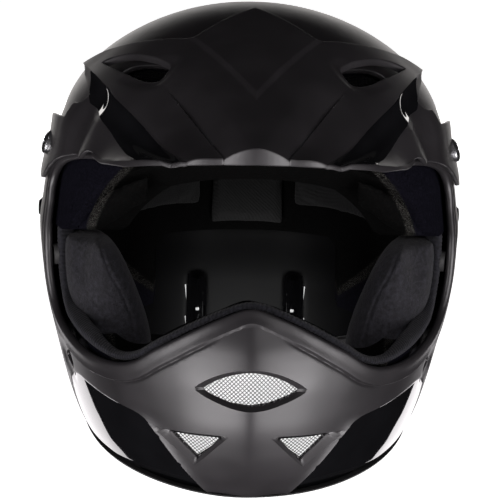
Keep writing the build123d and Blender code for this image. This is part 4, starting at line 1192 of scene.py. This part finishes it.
def place_rear(uv, off):
    w, f, b = spans(uv[:, 1], off)
    y = b * np.clip(1 - (np.abs(uv[:, 0]) / w) ** 2.08, 0, 1) ** (1 / 2.08)
    return np.column_stack([uv[:, 0], y, uv[:, 1]])


def place_side(uv, off):
    return np.column_stack([side_x(uv[:, 0], uv[:, 1], off), uv[:, 0], uv[:, 1]])


def place_top(uv, off):
    lo, hi = np.full(len(uv), 140.0), np.full(len(uv), TOP - 0.01) - off
    for _ in range(34):
        mid = (lo + hi) / 2
        out = implicit(np.column_stack([uv, mid]), off) > 1
        hi = np.where(out, mid, hi)
        lo = np.where(out, lo, mid)
    return np.column_stack([uv, (lo + hi) / 2])


def woven(name, place, outline, mat, mirror=False, grown=3.0, pitch=1.25, wire=0.22, off=4.75, turn=45.0):
    """Woven wire over the opening; wires pass over and under each other."""
    lo, hi = outline.min(0) - grown, outline.max(0) + grown
    mid = (lo + hi) / 2
    half = np.hypot(*(hi - lo)) / 2
    steps = np.arange(-half, half + 0.01, pitch / 4)
    rows = np.arange(-int(half / pitch) - 1, int(half / pitch) + 2)
    rings, links, base = [], [], 0
    for family, a in enumerate((math.radians(turn), math.radians(turn + 90))):
        d, e = np.array([math.cos(a), math.sin(a)]), np.array([-math.sin(a), math.cos(a)])
        uv = (mid + rows[:, None, None] * pitch * e + steps[None, :, None] * d).reshape(-1, 2)
        ok = (outline_field(uv, outline) < grown).reshape(len(rows), -1)
        lift = 0.5 * wire * 2.1 * np.cos(np.pi * (steps[None, :] / pitch + rows[:, None] + family))
        idx = np.full(ok.shape, -1)
        idx[ok] = np.arange(ok.sum())
        uv, lift = uv[ok.ravel()], lift.ravel()[ok.ravel()]
        p = place(uv, np.full(len(uv), off)) if place is not place_front else place(uv, off)
        q = place(uv, off - 0.5)
        n = unit(q - p)
        if place is place_top:
            n = np.tile([0.0, 0, 1], (len(p), 1))
        ahead = place(uv + d * 0.2, off) - p
        t = unit(ahead)
        b = unit(np.cross(t, n))
        n = np.cross(b, t)
        c = p + n * lift[:, None]
        ring = np.stack([c + n * wire, c + b * wire, c - n * wire, c - b * wire], 1).reshape(-1, 3)
        i, j = idx[:, :-1].ravel(), idx[:, 1:].ravel()
        m = (i >= 0) & (j >= 0)
        i, j = i[m] * 4 + base, j[m] * 4 + base
        for k in range(4):
            k2 = (k + 1) % 4
            links.append(np.column_stack([i + k, j + k, j + k2, i + k2]))
        starts = idx[(idx >= 0) & (np.pad(idx, ((0, 0), (1, 0)), constant_values=-1)[:, :-1] < 0)] * 4 + base
        ends = idx[(idx >= 0) & (np.pad(idx, ((0, 0), (0, 1)), constant_values=-1)[:, 1:] < 0)] * 4 + base
        links.append(np.column_stack([starts, starts + 1, starts + 2, starts + 3]))
        links.append(np.column_stack([ends + 3, ends + 2, ends + 1, ends]))
        rings.append(ring)
        base += len(ring)
    P, F = np.vstack(rings), np.vstack(links)
    if mirror:
        P = P * (-1, 1, 1)
        F = F[:, ::-1]
    return mesh_object(name, P, F, mat)


# ------------------------------------------------------------------ edge roll
def edge_roll():
    line = PORT_LINE
    low = line[line[:, 2] < 125.5]
    k = np.argmax(np.linalg.norm(np.diff(np.vstack([low, low[:1]]), axis=0), axis=1))
    low = np.roll(low, -(k + 1), axis=0)
    s = np.concatenate([[0], np.cumsum(np.linalg.norm(np.diff(low, axis=0), axis=1))])
    t = np.arange(0, s[-1], 0.4)
    p = np.column_stack([np.interp(t, s, low[:, a]) for a in range(3)])
    front = smoothstep(-118, -152, p[:, 1])
    a = onto_shell(p, PORT_APEX, 5.0)
    b = onto_shell(p, PORT_APEX, 14.6)
    b = b + (a - b) * (0.42 * front)[:, None]
    tan = unit(np.gradient(p, axis=0))
    for _ in range(30):
        tan = unit(tan + np.roll(tan, 1, axis=0) * 0.5 + np.roll(tan, -1, axis=0) * 0.5)
    h = (b - a) / 2
    c = unit(np.cross(tan, h))
    centre = np.array([0, -120.0, 118])
    flip = np.sign(np.sum(c * (centre - p), axis=1))
    flip[np.abs(flip) < 1] = 1
    c = c * np.median(flip)
    n = 26
    phi = np.linspace(0, 2 * np.pi, n, endpoint=False)
    e = 2 / 3.0
    cs, sn = np.sign(np.cos(phi)) * np.abs(np.cos(phi)) ** e, np.sign(np.sin(phi)) * np.abs(np.sin(phi)) ** e
    end = np.minimum(t, t[-1] - t)
    size = np.sqrt(np.clip(1 - (1 - np.clip(end / 3.2, 0, 1)) ** 2, 0.02, 1))
    rib = 0.30 * (np.abs(np.sin(np.pi * (t[:, None] / 2.3 + phi[None, :] * 0.16))) - 0.6)
    q = (a + h)[:, None] + h[:, None] * (cs[None, :, None] * size[:, None, None]) \
        + c[:, None] * (((4.2 - 4.15 * smoothstep(-118, -160, p[:, 1]))[:, None] + ((2.55 - 0.95 * front)[:, None] + rib) * sn[None, :] * size[:, None])[:, :, None])
    q = q + unit(h)[:, None] * (rib * cs[None, :] * size[:, None])[:, :, None]
    m = len(t)
    P = q.reshape(-1, 3)
    i = np.arange(m - 1)[:, None] * n + np.arange(n)[None, :]
    j = np.arange(m - 1)[:, None] * n + (np.arange(n)[None, :] + 1) % n
    F = np.stack([i, i + n, j + n, j], -1).reshape(-1, 4)
    caps = []
    for row, order in ((0, 1), (m - 1, -1)):
        mid = len(P)
        P = np.vstack([P, q[row].mean(0)])
        k0 = row * n + np.arange(n)
        k1 = row * n + (np.arange(n) + 1) % n
        tri = np.column_stack([k0, k1, np.full(n, mid)])
        caps.append(tri[:, ::order])
    o = mesh_object("edge_roll", P, [F, np.vstack(caps)], ROLL_CLOTH)
    return o


# ------------------------------------------------------------------ soft pads
def evaluated(o):
    dg = bpy.context.evaluated_depsgraph_get()
    return bpy.data.meshes.new_from_object(o.evaluated_get(dg))


def coordinates(me):
    a = np.empty(len(me.vertices) * 3)
    me.vertices.foreach_get("co", a)
    return a.reshape(-1, 3)


def normals(me):
    a = np.empty(len(me.vertices) * 3, np.float32)
    me.vertex_normals.foreach_get("vector", a)
    return a.reshape(-1, 3).astype(float)


def relaxed(me, times, factor=0.5):
    e = np.empty(len(me.edges) * 2, np.int32)
    me.edges.foreach_get("vertices", e)
    e = e.reshape(-1, 2)
    p = coordinates(me)
    count = np.bincount(e.ravel(), minlength=len(p)).astype(float)[:, None]
    for _ in range(times):
        acc = np.zeros_like(p)
        for k in range(3):
            acc[:, k] = np.bincount(e[:, 0], p[e[:, 1], k], len(p)) + np.bincount(e[:, 1], p[e[:, 0], k], len(p))
        p += factor * (acc / np.maximum(count, 1) - p)
    return p


def swap_mesh(o, me):
    old = o.data
    o.data = me
    if old.users == 0:
        bpy.data.meshes.remove(old)


def with_modifier(o, kind, **values):
    m = o.modifiers.new(kind, kind)
    for k, v in values.items():
        setattr(m, k, v)
    me = evaluated(o)
    o.modifiers.remove(m)
    swap_mesh(o, me)


def soft_pad(name, cad, mat, voxel=0.0038, shrink=0.0022, cap=0.0034, relax=5, levels=1, body="helmet", drop=0.0):
    """Padded cloth piece in the space of a CAD solid: remeshed, blown up, capped."""
    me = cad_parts[cad].data.copy()
    me.materials.clear()
    o = bpy.data.objects.new(name, me)
    bpy.context.scene.collection.objects.link(o)
    with_modifier(o, "REMESH", mode="VOXEL", voxel_size=voxel, use_smooth_shade=True)
    me = o.data
    p = relaxed(me, relax)
    me.vertices.foreach_set("co", p.astype(np.float32).ravel())
    me.update()
    p = p - normals(me) * shrink
    me.vertices.foreach_set("co", p.astype(np.float32).ravel())
    me.update()
    scene = bpy.context.scene
    scene.frame_set(1)
    cloth = o.modifiers.new("Cloth", "CLOTH")
    st = cloth.settings
    st.quality = 4
    st.use_pressure = True
    st.uniform_pressure_force = 4.0
    st.effector_weights.gravity = 0
    st.tension_stiffness = 12
    st.compression_stiffness = 12
    st.bending_stiffness = 0.6
    cloth.collision_settings.use_collision = False
    cloth.point_cache.frame_start, cloth.point_cache.frame_end = 1, 20
    for f in range(1, 21):
        scene.frame_set(f)
    dg = bpy.context.evaluated_depsgraph_get()
    ev = o.evaluated_get(dg)
    q = coordinates(ev.data)
    o.modifiers.remove(cloth)
    scene.frame_set(1)
    d = q - p
    d -= d.mean(0)
    r = np.linalg.norm(d, axis=1, keepdims=True)
    p = p + d * np.minimum(1, cap / np.maximum(r, 1e-9))
    o.data.vertices.foreach_set("co", p.astype(np.float32).ravel())
    o.data.update()
    if drop:
        # the lower end settles towards the chin bar
        p = coordinates(o.data)
        t = np.clip((p[:, 2].min() + 0.035 - p[:, 2]) / 0.035, 0, 1)
        p[:, 2] -= drop * t**1.5
        p[:, 1] -= 0.5 * drop * t**1.5
        o.data.vertices.foreach_set("co", p.astype(np.float32).ravel())
        o.data.update()
    with_modifier(o, "SUBSURF", levels=levels, render_levels=levels)
    o.data.materials.clear()
    o.data.materials.append(mat)
    o.data.polygons.foreach_set("use_smooth", np.full(len(o.data.polygons), True))
    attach(o, body)
    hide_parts(cad)
    return o


def photo_px(p):
    """Pixels of world points in the camera's picture, and the depth."""
    cam = bpy.context.scene.camera
    m = np.array(cam.matrix_world.inverted())
    q = p @ m[:3, :3].T + m[:3, 3]
    f = cam.data.lens / 36 * 500
    return np.column_stack([250 + f * q[:, 0] / -q[:, 2], 250 - f * q[:, 1] / -q[:, 2]]), -q[:, 2]


def sew(o, line, depth=0.0006, width=1.2, ridge=0.0001):
    """A seam along a line of the front face: groove with a slight swell at each side."""
    p, n = coordinates(o.data), normals(o.data)
    px, _ = photo_px(p)
    facing = n @ np.array([0.0, -1.0, 0.1]) > 0.15
    d = line_distance(np.column_stack([px, np.zeros(len(px))]), np.column_stack([curve_through(np.array(line, float), per=8), np.zeros(len(curve_through(np.array(line, float), per=8)))]))
    move = np.where(facing, -depth * np.exp(-(d / width) ** 2) + ridge * np.exp(-((d - 2.6 * width) / (1.3 * width)) ** 2), 0)
    p = p + n * move[:, None]
    o.data.vertices.foreach_set("co", p.astype(np.float32).ravel())
    o.data.update()


# ----------------------------------------------------------------- chin strap
STRAP_PATH = [(116.2, 131.0), (116.2, 112.0), (112.6, 86.0), (106.0, 66.0), (95.0, 50.5), (80.0, 40.0), (62.0, 34.0),
              (40.0, 31.5), (0.0, 31.0)]


def strap(name, path, cad, width=20.0, thick=1.7, y0=5.0):
    line = curve_through(np.array([(x, 0, z) for x, z in path], float), per=14)[:, [0, 2]]
    s = np.concatenate([[0], np.cumsum(np.linalg.norm(np.diff(line, axis=0), axis=1))])
    t = np.arange(0, s[-1], 0.55)
    c = np.column_stack([np.interp(t, s, line[:, 0]), np.interp(t, s, line[:, 1])])
    d = unit(np.gradient(c, axis=0))
    n = np.column_stack([-d[:, 1], d[:, 0]])
    v = np.linspace(-1, 1, 41)
    half = thick / 2 * np.sqrt(np.clip(1 - np.abs(v) ** 14, 0, 1))
    rib = 0.09 * np.cos(v * width / 2 * 2 * np.pi / 2.3)
    weave = 0.07 * np.cos(2 * np.pi * (t[:, None] / 1.5 + 0.5 * (np.floor(v[None, :] * width / 2 / 1.15) % 2)))
    top = half[None, :] + (rib[None, :] + weave) * (half[None, :] > 0.3)
    rows = []
    for sign in (1, -1):
        h = top * sign
        y = y0 + v * width / 2
        rows.append(np.stack([c[:, None, 0] + n[:, None, 0] * h, np.broadcast_to(y, h.shape), c[:, None, 1] + n[:, None, 1] * h], -1))
    q = np.concatenate([rows[0], rows[1][:, ::-1][:, 1:-1]], axis=1)
    m, k = q.shape[:2]
    P = q.reshape(-1, 3)
    i = np.arange(m - 1)[:, None] * k + np.arange(k)[None, :]
    j = np.arange(m - 1)[:, None] * k + (np.arange(k)[None, :] + 1) % k
    F = np.stack([i, i + k, j + k, j], -1).reshape(-1, 4)
    caps = []
    for row, order in ((0, 1), (m - 1, -1)):
        mid = len(P)
        P = np.vstack([P, q[row].mean(0)])
        k0, k1 = row * k + np.arange(k), row * k + (np.arange(k) + 1) % k
        caps.append(np.column_stack([k0, k1, np.full(k, mid)])[:, ::order])
    o = mesh_object(name, P, [F, np.vstack(caps)], WEBBING)
    import bmesh
    bm = bmesh.new()
    bm.from_mesh(o.data)
    bmesh.ops.recalc_face_normals(bm, faces=bm.faces)
    bm.to_mesh(o.data)
    bm.free()
    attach(o, "strap")
    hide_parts(cad)
    return o


# --------------------------------------------------------------------- screws
def screw(name, side, cad):
    n = unit(np.array([side * 0.947, -0.13, 0.292]))
    t = unit(np.cross(n, (0, 0, 1.0)))
    b = np.cross(n, t)
    base = np.array([side * 114.8, -25.0, 163.0]) + n * 3.3
    R, H = 7.0, 3.2
    r = np.concatenate([np.linspace(0.05, 4.4, 46), np.linspace(4.55, 6.9, 26), [6.97, 7.0, 7.0, 6.95, 6.8]])
    z = H * np.sqrt(np.clip(1 - (r / 7.3) ** 2.3, 0, 1))
    z[-5:] = [1.1, 0.75, 0.25, 0.06, 0.0]
    z = np.minimum(z, H)
    a = np.linspace(0, 2 * np.pi, 120, endpoint=False)
    x, y = r[:, None] * np.cos(a), r[:, None] * np.sin(a)
    def bar(u, v):
        taper = 0.95 - 0.09 * np.abs(u)
        return np.clip((taper - np.abs(v)) / 0.22 + 0.5, 0, 1) * np.clip((3.35 - np.abs(u)) / 0.4 + 0.5, 0, 1)
    recess = np.maximum(bar(x, y), bar(y, x))
    zz = z[:, None] - 1.8 * recess * (r[:, None] < 4.3)
    rows = [base + x[..., None] * t + y[..., None] * b + zz[..., None] * n]
    for rr, h in ((3.05, 0.0), (3.0, -0.1), (3.0, -10.3), (2.6, -10.8)):
        rows.append((base + rr * np.cos(a)[:, None] * t + rr * np.sin(a)[:, None] * b + h * n)[None])
    q = np.concatenate(rows)
    m, k = q.shape[:2]
    P = q.reshape(-1, 3)
    i = np.arange(m - 1)[:, None] * k + np.arange(k)[None, :]
    j = np.arange(m - 1)[:, None] * k + (np.arange(k)[None, :] + 1) % k
    F = np.stack([i, i + k, j + k, j], -1).reshape(-1, 4)
    P = np.vstack([P, q[0].mean(0), q[-1].mean(0)])
    k0, k1 = np.arange(k), (np.arange(k) + 1) % k
    caps = np.vstack([np.column_stack([k0, k1, np.full(k, len(P) - 2)]), np.column_stack([(m - 1) * k + k1, (m - 1) * k + k0, np.full(k, len(P) - 1)])])
    o = mesh_object(name, P, [F, caps], CHROME, sharp=40)
    import bmesh
    bm = bmesh.new()
    bm.from_mesh(o.data)
    bmesh.ops.recalc_face_normals(bm, faces=bm.faces)
    bm.to_mesh(o.data)
    bm.free()
    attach(o, "screw_right" if side > 0 else "screw_left")
    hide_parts(cad)
    return o


def finish_node(cad, mat):
    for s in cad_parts[cad].material_slots:
        s.link = "OBJECT"
        s.material = mat


# ================================================================ the making
def camera():
    el, yaw, roll = math.radians(12), math.radians(0.93), math.radians(1.3)
    fwd = np.array([math.sin(yaw) * math.cos(el), math.cos(el) * math.cos(yaw), -math.sin(el)])
    right = unit(np.cross(fwd, (0, 0, 1)))
    up = np.cross(right, fwd)
    r2 = right * math.cos(roll) + up * math.sin(roll)
    u2 = up * math.cos(roll) - right * math.sin(roll)
    target = np.array([1.0, 0, 97])
    c = target - fwd * 1033
    cam = bpy.data.cameras.new("camera")
    cam.sensor_width = 36
    cam.lens = 36 * 1711 / 500
    cam.clip_start, cam.clip_end = 0.05, 60
    cam.dof.use_dof = False
    o = bpy.data.objects.new("camera", cam)
    bpy.context.scene.collection.objects.link(o)
    from mathutils import Matrix
    w = to_world(c)
    m = Matrix([[r2[0], u2[0], -fwd[0], w[0]], [r2[1], u2[1], -fwd[1], w[1]], [r2[2], u2[2], -fwd[2], w[2]], [0, 0, 0, 1]])
    o.matrix_world = m
    bpy.context.scene.camera = o
    return o


def area_light(name, az, el, dist, size, power, colour=(1, 1, 1), aim=(0, 0, 0.12), visible=False, height=None):
    """Soft box; az 0 is in front of the face, positive to the viewer's right."""
    from mathutils import Vector
    light = bpy.data.lights.new(name, "AREA")
    light.shape = "RECTANGLE"
    light.size, light.size_y = size
    light.energy = power
    light.color = colour
    o = bpy.data.objects.new(name, light)
    bpy.context.scene.collection.objects.link(o)
    a, e = math.radians(az), math.radians(el)
    d = Vector((math.sin(a) * math.cos(e), -math.cos(a) * math.cos(e), math.sin(e)))
    o.location = Vector(aim) + d * dist
    o.rotation_euler = d.to_track_quat("Z", "Y").to_euler()
    o.visible_camera = visible
    return o


COOL, WARM = (1.0, 0.965, 0.985), (1.0, 0.965, 0.94)
# soft boxes: name, azimuth, elevation, distance, size, power, tone
LIGHTS = [
    ("front_low_left", -40, -38, 1.5, (0.9, 0.5), 12.0, COOL), ("front_low_right", 40, -38, 1.5, (0.9, 0.5), 9.0, COOL),
    ("chin_left", -20, -27, 1.5, (0.3, 0.45), 2.4, COOL), ("chin_right", 20, -27, 1.5, (0.3, 0.45), 2.2, COOL),
    ("front_left", -40, -12, 1.5, (0.9, 0.6), 17.0, COOL), ("front_right", 40, -12, 1.5, (0.9, 0.6), 18.5, COOL),
    ("front_high_left", -38, 14, 1.5, (0.8, 0.5), 8.68, COOL), ("front_high_right", 38, 14, 1.5, (0.8, 0.5), 8.78, COOL),
    ("upper_left", -30, 45, 1.5, (0.5, 0.4), 0.02, COOL), ("upper_right", 30, 45, 1.5, (0.5, 0.4), 1.9, COOL),
    ("outer_left", -72, -15, 1.5, (0.5, 1.0), 2.6, COOL), ("outer_right", 72, -15, 1.5, (0.5, 1.0), 3.0, COOL),
    ("jaw_left", -157, -32, 1.5, (0.72, 0.7), 2.4, COOL), ("jaw_right", 161, -30, 1.5, (0.72, 0.7), 2.5, COOL),
    ("back_low", 180, -11, 1.5, (1.6, 0.42), 2.4, WARM), ("back_wall", 180, 8, 1.5, (1.65, 0.62), 5.6, WARM),
    ("back_high", 180, 40, 1.5, (1.2, 0.5), 0.02, WARM), ("top", 0, 86, 1.5, (0.8, 0.8), 0.02, COOL),
]


def studio():
    scene = bpy.context.scene
    scene.view_settings.view_transform = "Standard"
    world = bpy.data.worlds.new("studio")
    scene.world = world
    world.use_nodes = True
    nt = world.node_tree
    bg = nt.nodes["Background"]
    bg.inputs["Color"].default_value = (0.0032, 0.0031, 0.0034, 1)
    bg.inputs["Strength"].default_value = 1.0
    # pale floor
    me = bpy.data.meshes.new("floor")
    me.from_pydata([(-9, -9, 0), (9, -9, 0), (9, 9, 0), (-9, 9, 0)], [], [(0, 1, 2, 3)])
    floor = bpy.data.objects.new("floor", me)
    scene.collection.objects.link(floor)
    m, ft, sh = material("pale_floor")
    n = noise(ft, object_coordinates(ft), 3.0, 2.0)
    ft.links.new(colour_ramp(ft, n.outputs["Fac"], [(0.2, (0.86, 0.86, 0.865)), (0.8, (0.9, 0.9, 0.9))]), sh.inputs["Base Color"])
    sh.inputs["Roughness"].default_value = 0.9
    sh.inputs["Emission Color"].default_value = (1, 1, 1, 1)
    sh.inputs["Emission Strength"].default_value = 1.06
    me.materials.append(m)
    for flag in ("visible_glossy", "visible_diffuse", "visible_shadow", "visible_transmission"):
        setattr(floor, flag, False)
    # backdrop all round that only the camera sees
    import bmesh
    bm = bmesh.new()
    bmesh.ops.create_uvsphere(bm, u_segments=48, v_segments=24, radius=8.5)
    me = bpy.data.meshes.new("backdrop")
    bm.to_mesh(me)
    bm.free()
    back = bpy.data.objects.new("backdrop", me)
    scene.collection.objects.link(back)
    m, bt, sh = material("pale_backdrop")
    sh.inputs["Base Color"].default_value = (0, 0, 0, 1)
    sh.inputs["Emission Color"].default_value = (1, 1, 1, 1)
    sh.inputs["Emission Strength"].default_value = 1.06
    me.materials.append(m)
    for flag in ("visible_diffuse", "visible_glossy", "visible_transmission", "visible_shadow", "visible_volume_scatter"):
        setattr(back, flag, False)
    for name, az, el, dist, size, power, tone in LIGHTS:
        area_light(name, az, el, dist, size, power, tone)
    # glow of the bright table inside the neck opening, seen only as a reflection in the ribs
    glow = bpy.data.lights.new("neck_glow", "AREA")
    glow.shape = "RECTANGLE"
    glow.size, glow.size_y = 0.03, 0.085
    glow.energy = 0.085
    o = bpy.data.objects.new("neck_glow", glow)
    scene.collection.objects.link(o)
    o.location = (0, 0.08, 0.048)
    o.rotation_euler = (math.pi / 2, 0, 0)
    o.visible_camera = False
    o.visible_diffuse = False


def sizes():
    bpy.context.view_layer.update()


camera()
studio()

SHELL = shell_object(SATIN, GLOSS, GLOSS_INSIDE)
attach(SHELL, "helmet")
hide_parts("outer_shell")

SHEET = visor_object(SATIN_VISOR, GLOSS, UNDER)
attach(SHEET, "visor")
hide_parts("visor")

MESHES = [("centre_vent_mesh", place_front, CENTRE_EYE, WIRE, "mesh", 1.5, False)]
for end, flip in (("right", False), ("left", True)):
    MESHES += [("mouth_vent_mesh_" + end, place_front, MOUTH_HOLE, WIRE, "mesh", 1.5, flip),
               ("jaw_vent_mesh_" + end, place_side, JAW_NOTCH, DARK_WIRE, "black_mesh", 1.5, flip),
               ("brow_vent_mesh_" + end, place_top, BROW_SLOT, DARK_WIRE, "black_mesh", 1.5, flip),
               ("rear_vent_mesh_" + end, place_rear, REAR_SLOT, WIRE, "mesh", 1.5, flip)]
for cad, place, outline, mat, finish, pitch, flip in MESHES:
    o = woven(cad.replace("_mesh", "_weave"), place, outline, mat, mirror=flip, pitch=pitch)
    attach(o, "helmet")
    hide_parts(cad)

ROLL = edge_roll()
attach(ROLL, "helmet")
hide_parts("port_edge_roll")

for end in ("right", "left"):
    cheek = soft_pad("cheek_cushion_" + end, "cheek_pad_" + end, PAD_CLOTH, voxel=0.0042, levels=2, drop=0.007)
    sign = 1 if end == "left" else -1
    seam = [(98, 240), (110, 273), (123, 296), (131, 317), (138, 341)]
    sew(cheek, seam if end == "left" else [(500.5 - x, y) for x, y in seam])
    soft_pad("temple_cushion_" + end, "temple_pad_" + end, TEMPLE_CLOTH, voxel=0.0034, levels=2)
    soft_pad("side_lining_" + end, "side_pad_" + end, LINING_CLOTH, voxel=0.0026, shrink=0.0008, cap=0.0014, relax=3)
    soft_pad("nape_lining_" + end, "nape_pad_" + end, LINING_CLOTH, voxel=0.0026, shrink=0.0008, cap=0.0014, relax=3)
soft_pad("crown_lining", "crown_pad", LINING_CLOTH, voxel=0.0026, shrink=0.0008, cap=0.0014, relax=3)
soft_pad("brow_lining", "brow_pad", LINING_CLOTH, voxel=0.0026, shrink=0.0008, cap=0.0014, relax=3)
soft_pad("strap_sleeve", "chin_strap_pad", STRAP_CLOTH, voxel=0.0011, shrink=0.0001, cap=0.0003, relax=4, body="strap")

strap("webbing_right", STRAP_PATH + [(-16.0, 31.2)], "strap_right")
strap("webbing_left", [(-x, z) for x, z in STRAP_PATH[:6]] + [(-73.0, 36.5), (-66.3, 35.4)], "strap_left")
screw("cross_screw_right", 1, "visor_screw_right")
screw("cross_screw_left", -1, "visor_screw_left")

for cad, mat in (("neck_edge_trim", RUBBER), ("eps_liner", FOAM), ("chin_bar_foam", FOAM), ("visor_insert_right", PLATED),
                 ("visor_insert_left", PLATED), ("visor_spacer_right", NYLON), ("visor_spacer_left", NYLON), ("strap_rivets", DARK_METAL),
                 ("strap_washers", NYLON), ("cheek_pad_snaps", NYLON), ("strap_anchor_plates", PLATED), ("buckle_housing", BUCKLE),
                 ("buckle_pin", PLATED), ("buckle_tongue", BUCKLE), ("tongue_clamp", BUCKLE), ("buckle_lever", LEVER)):
    finish_node(cad, mat)

sizes()
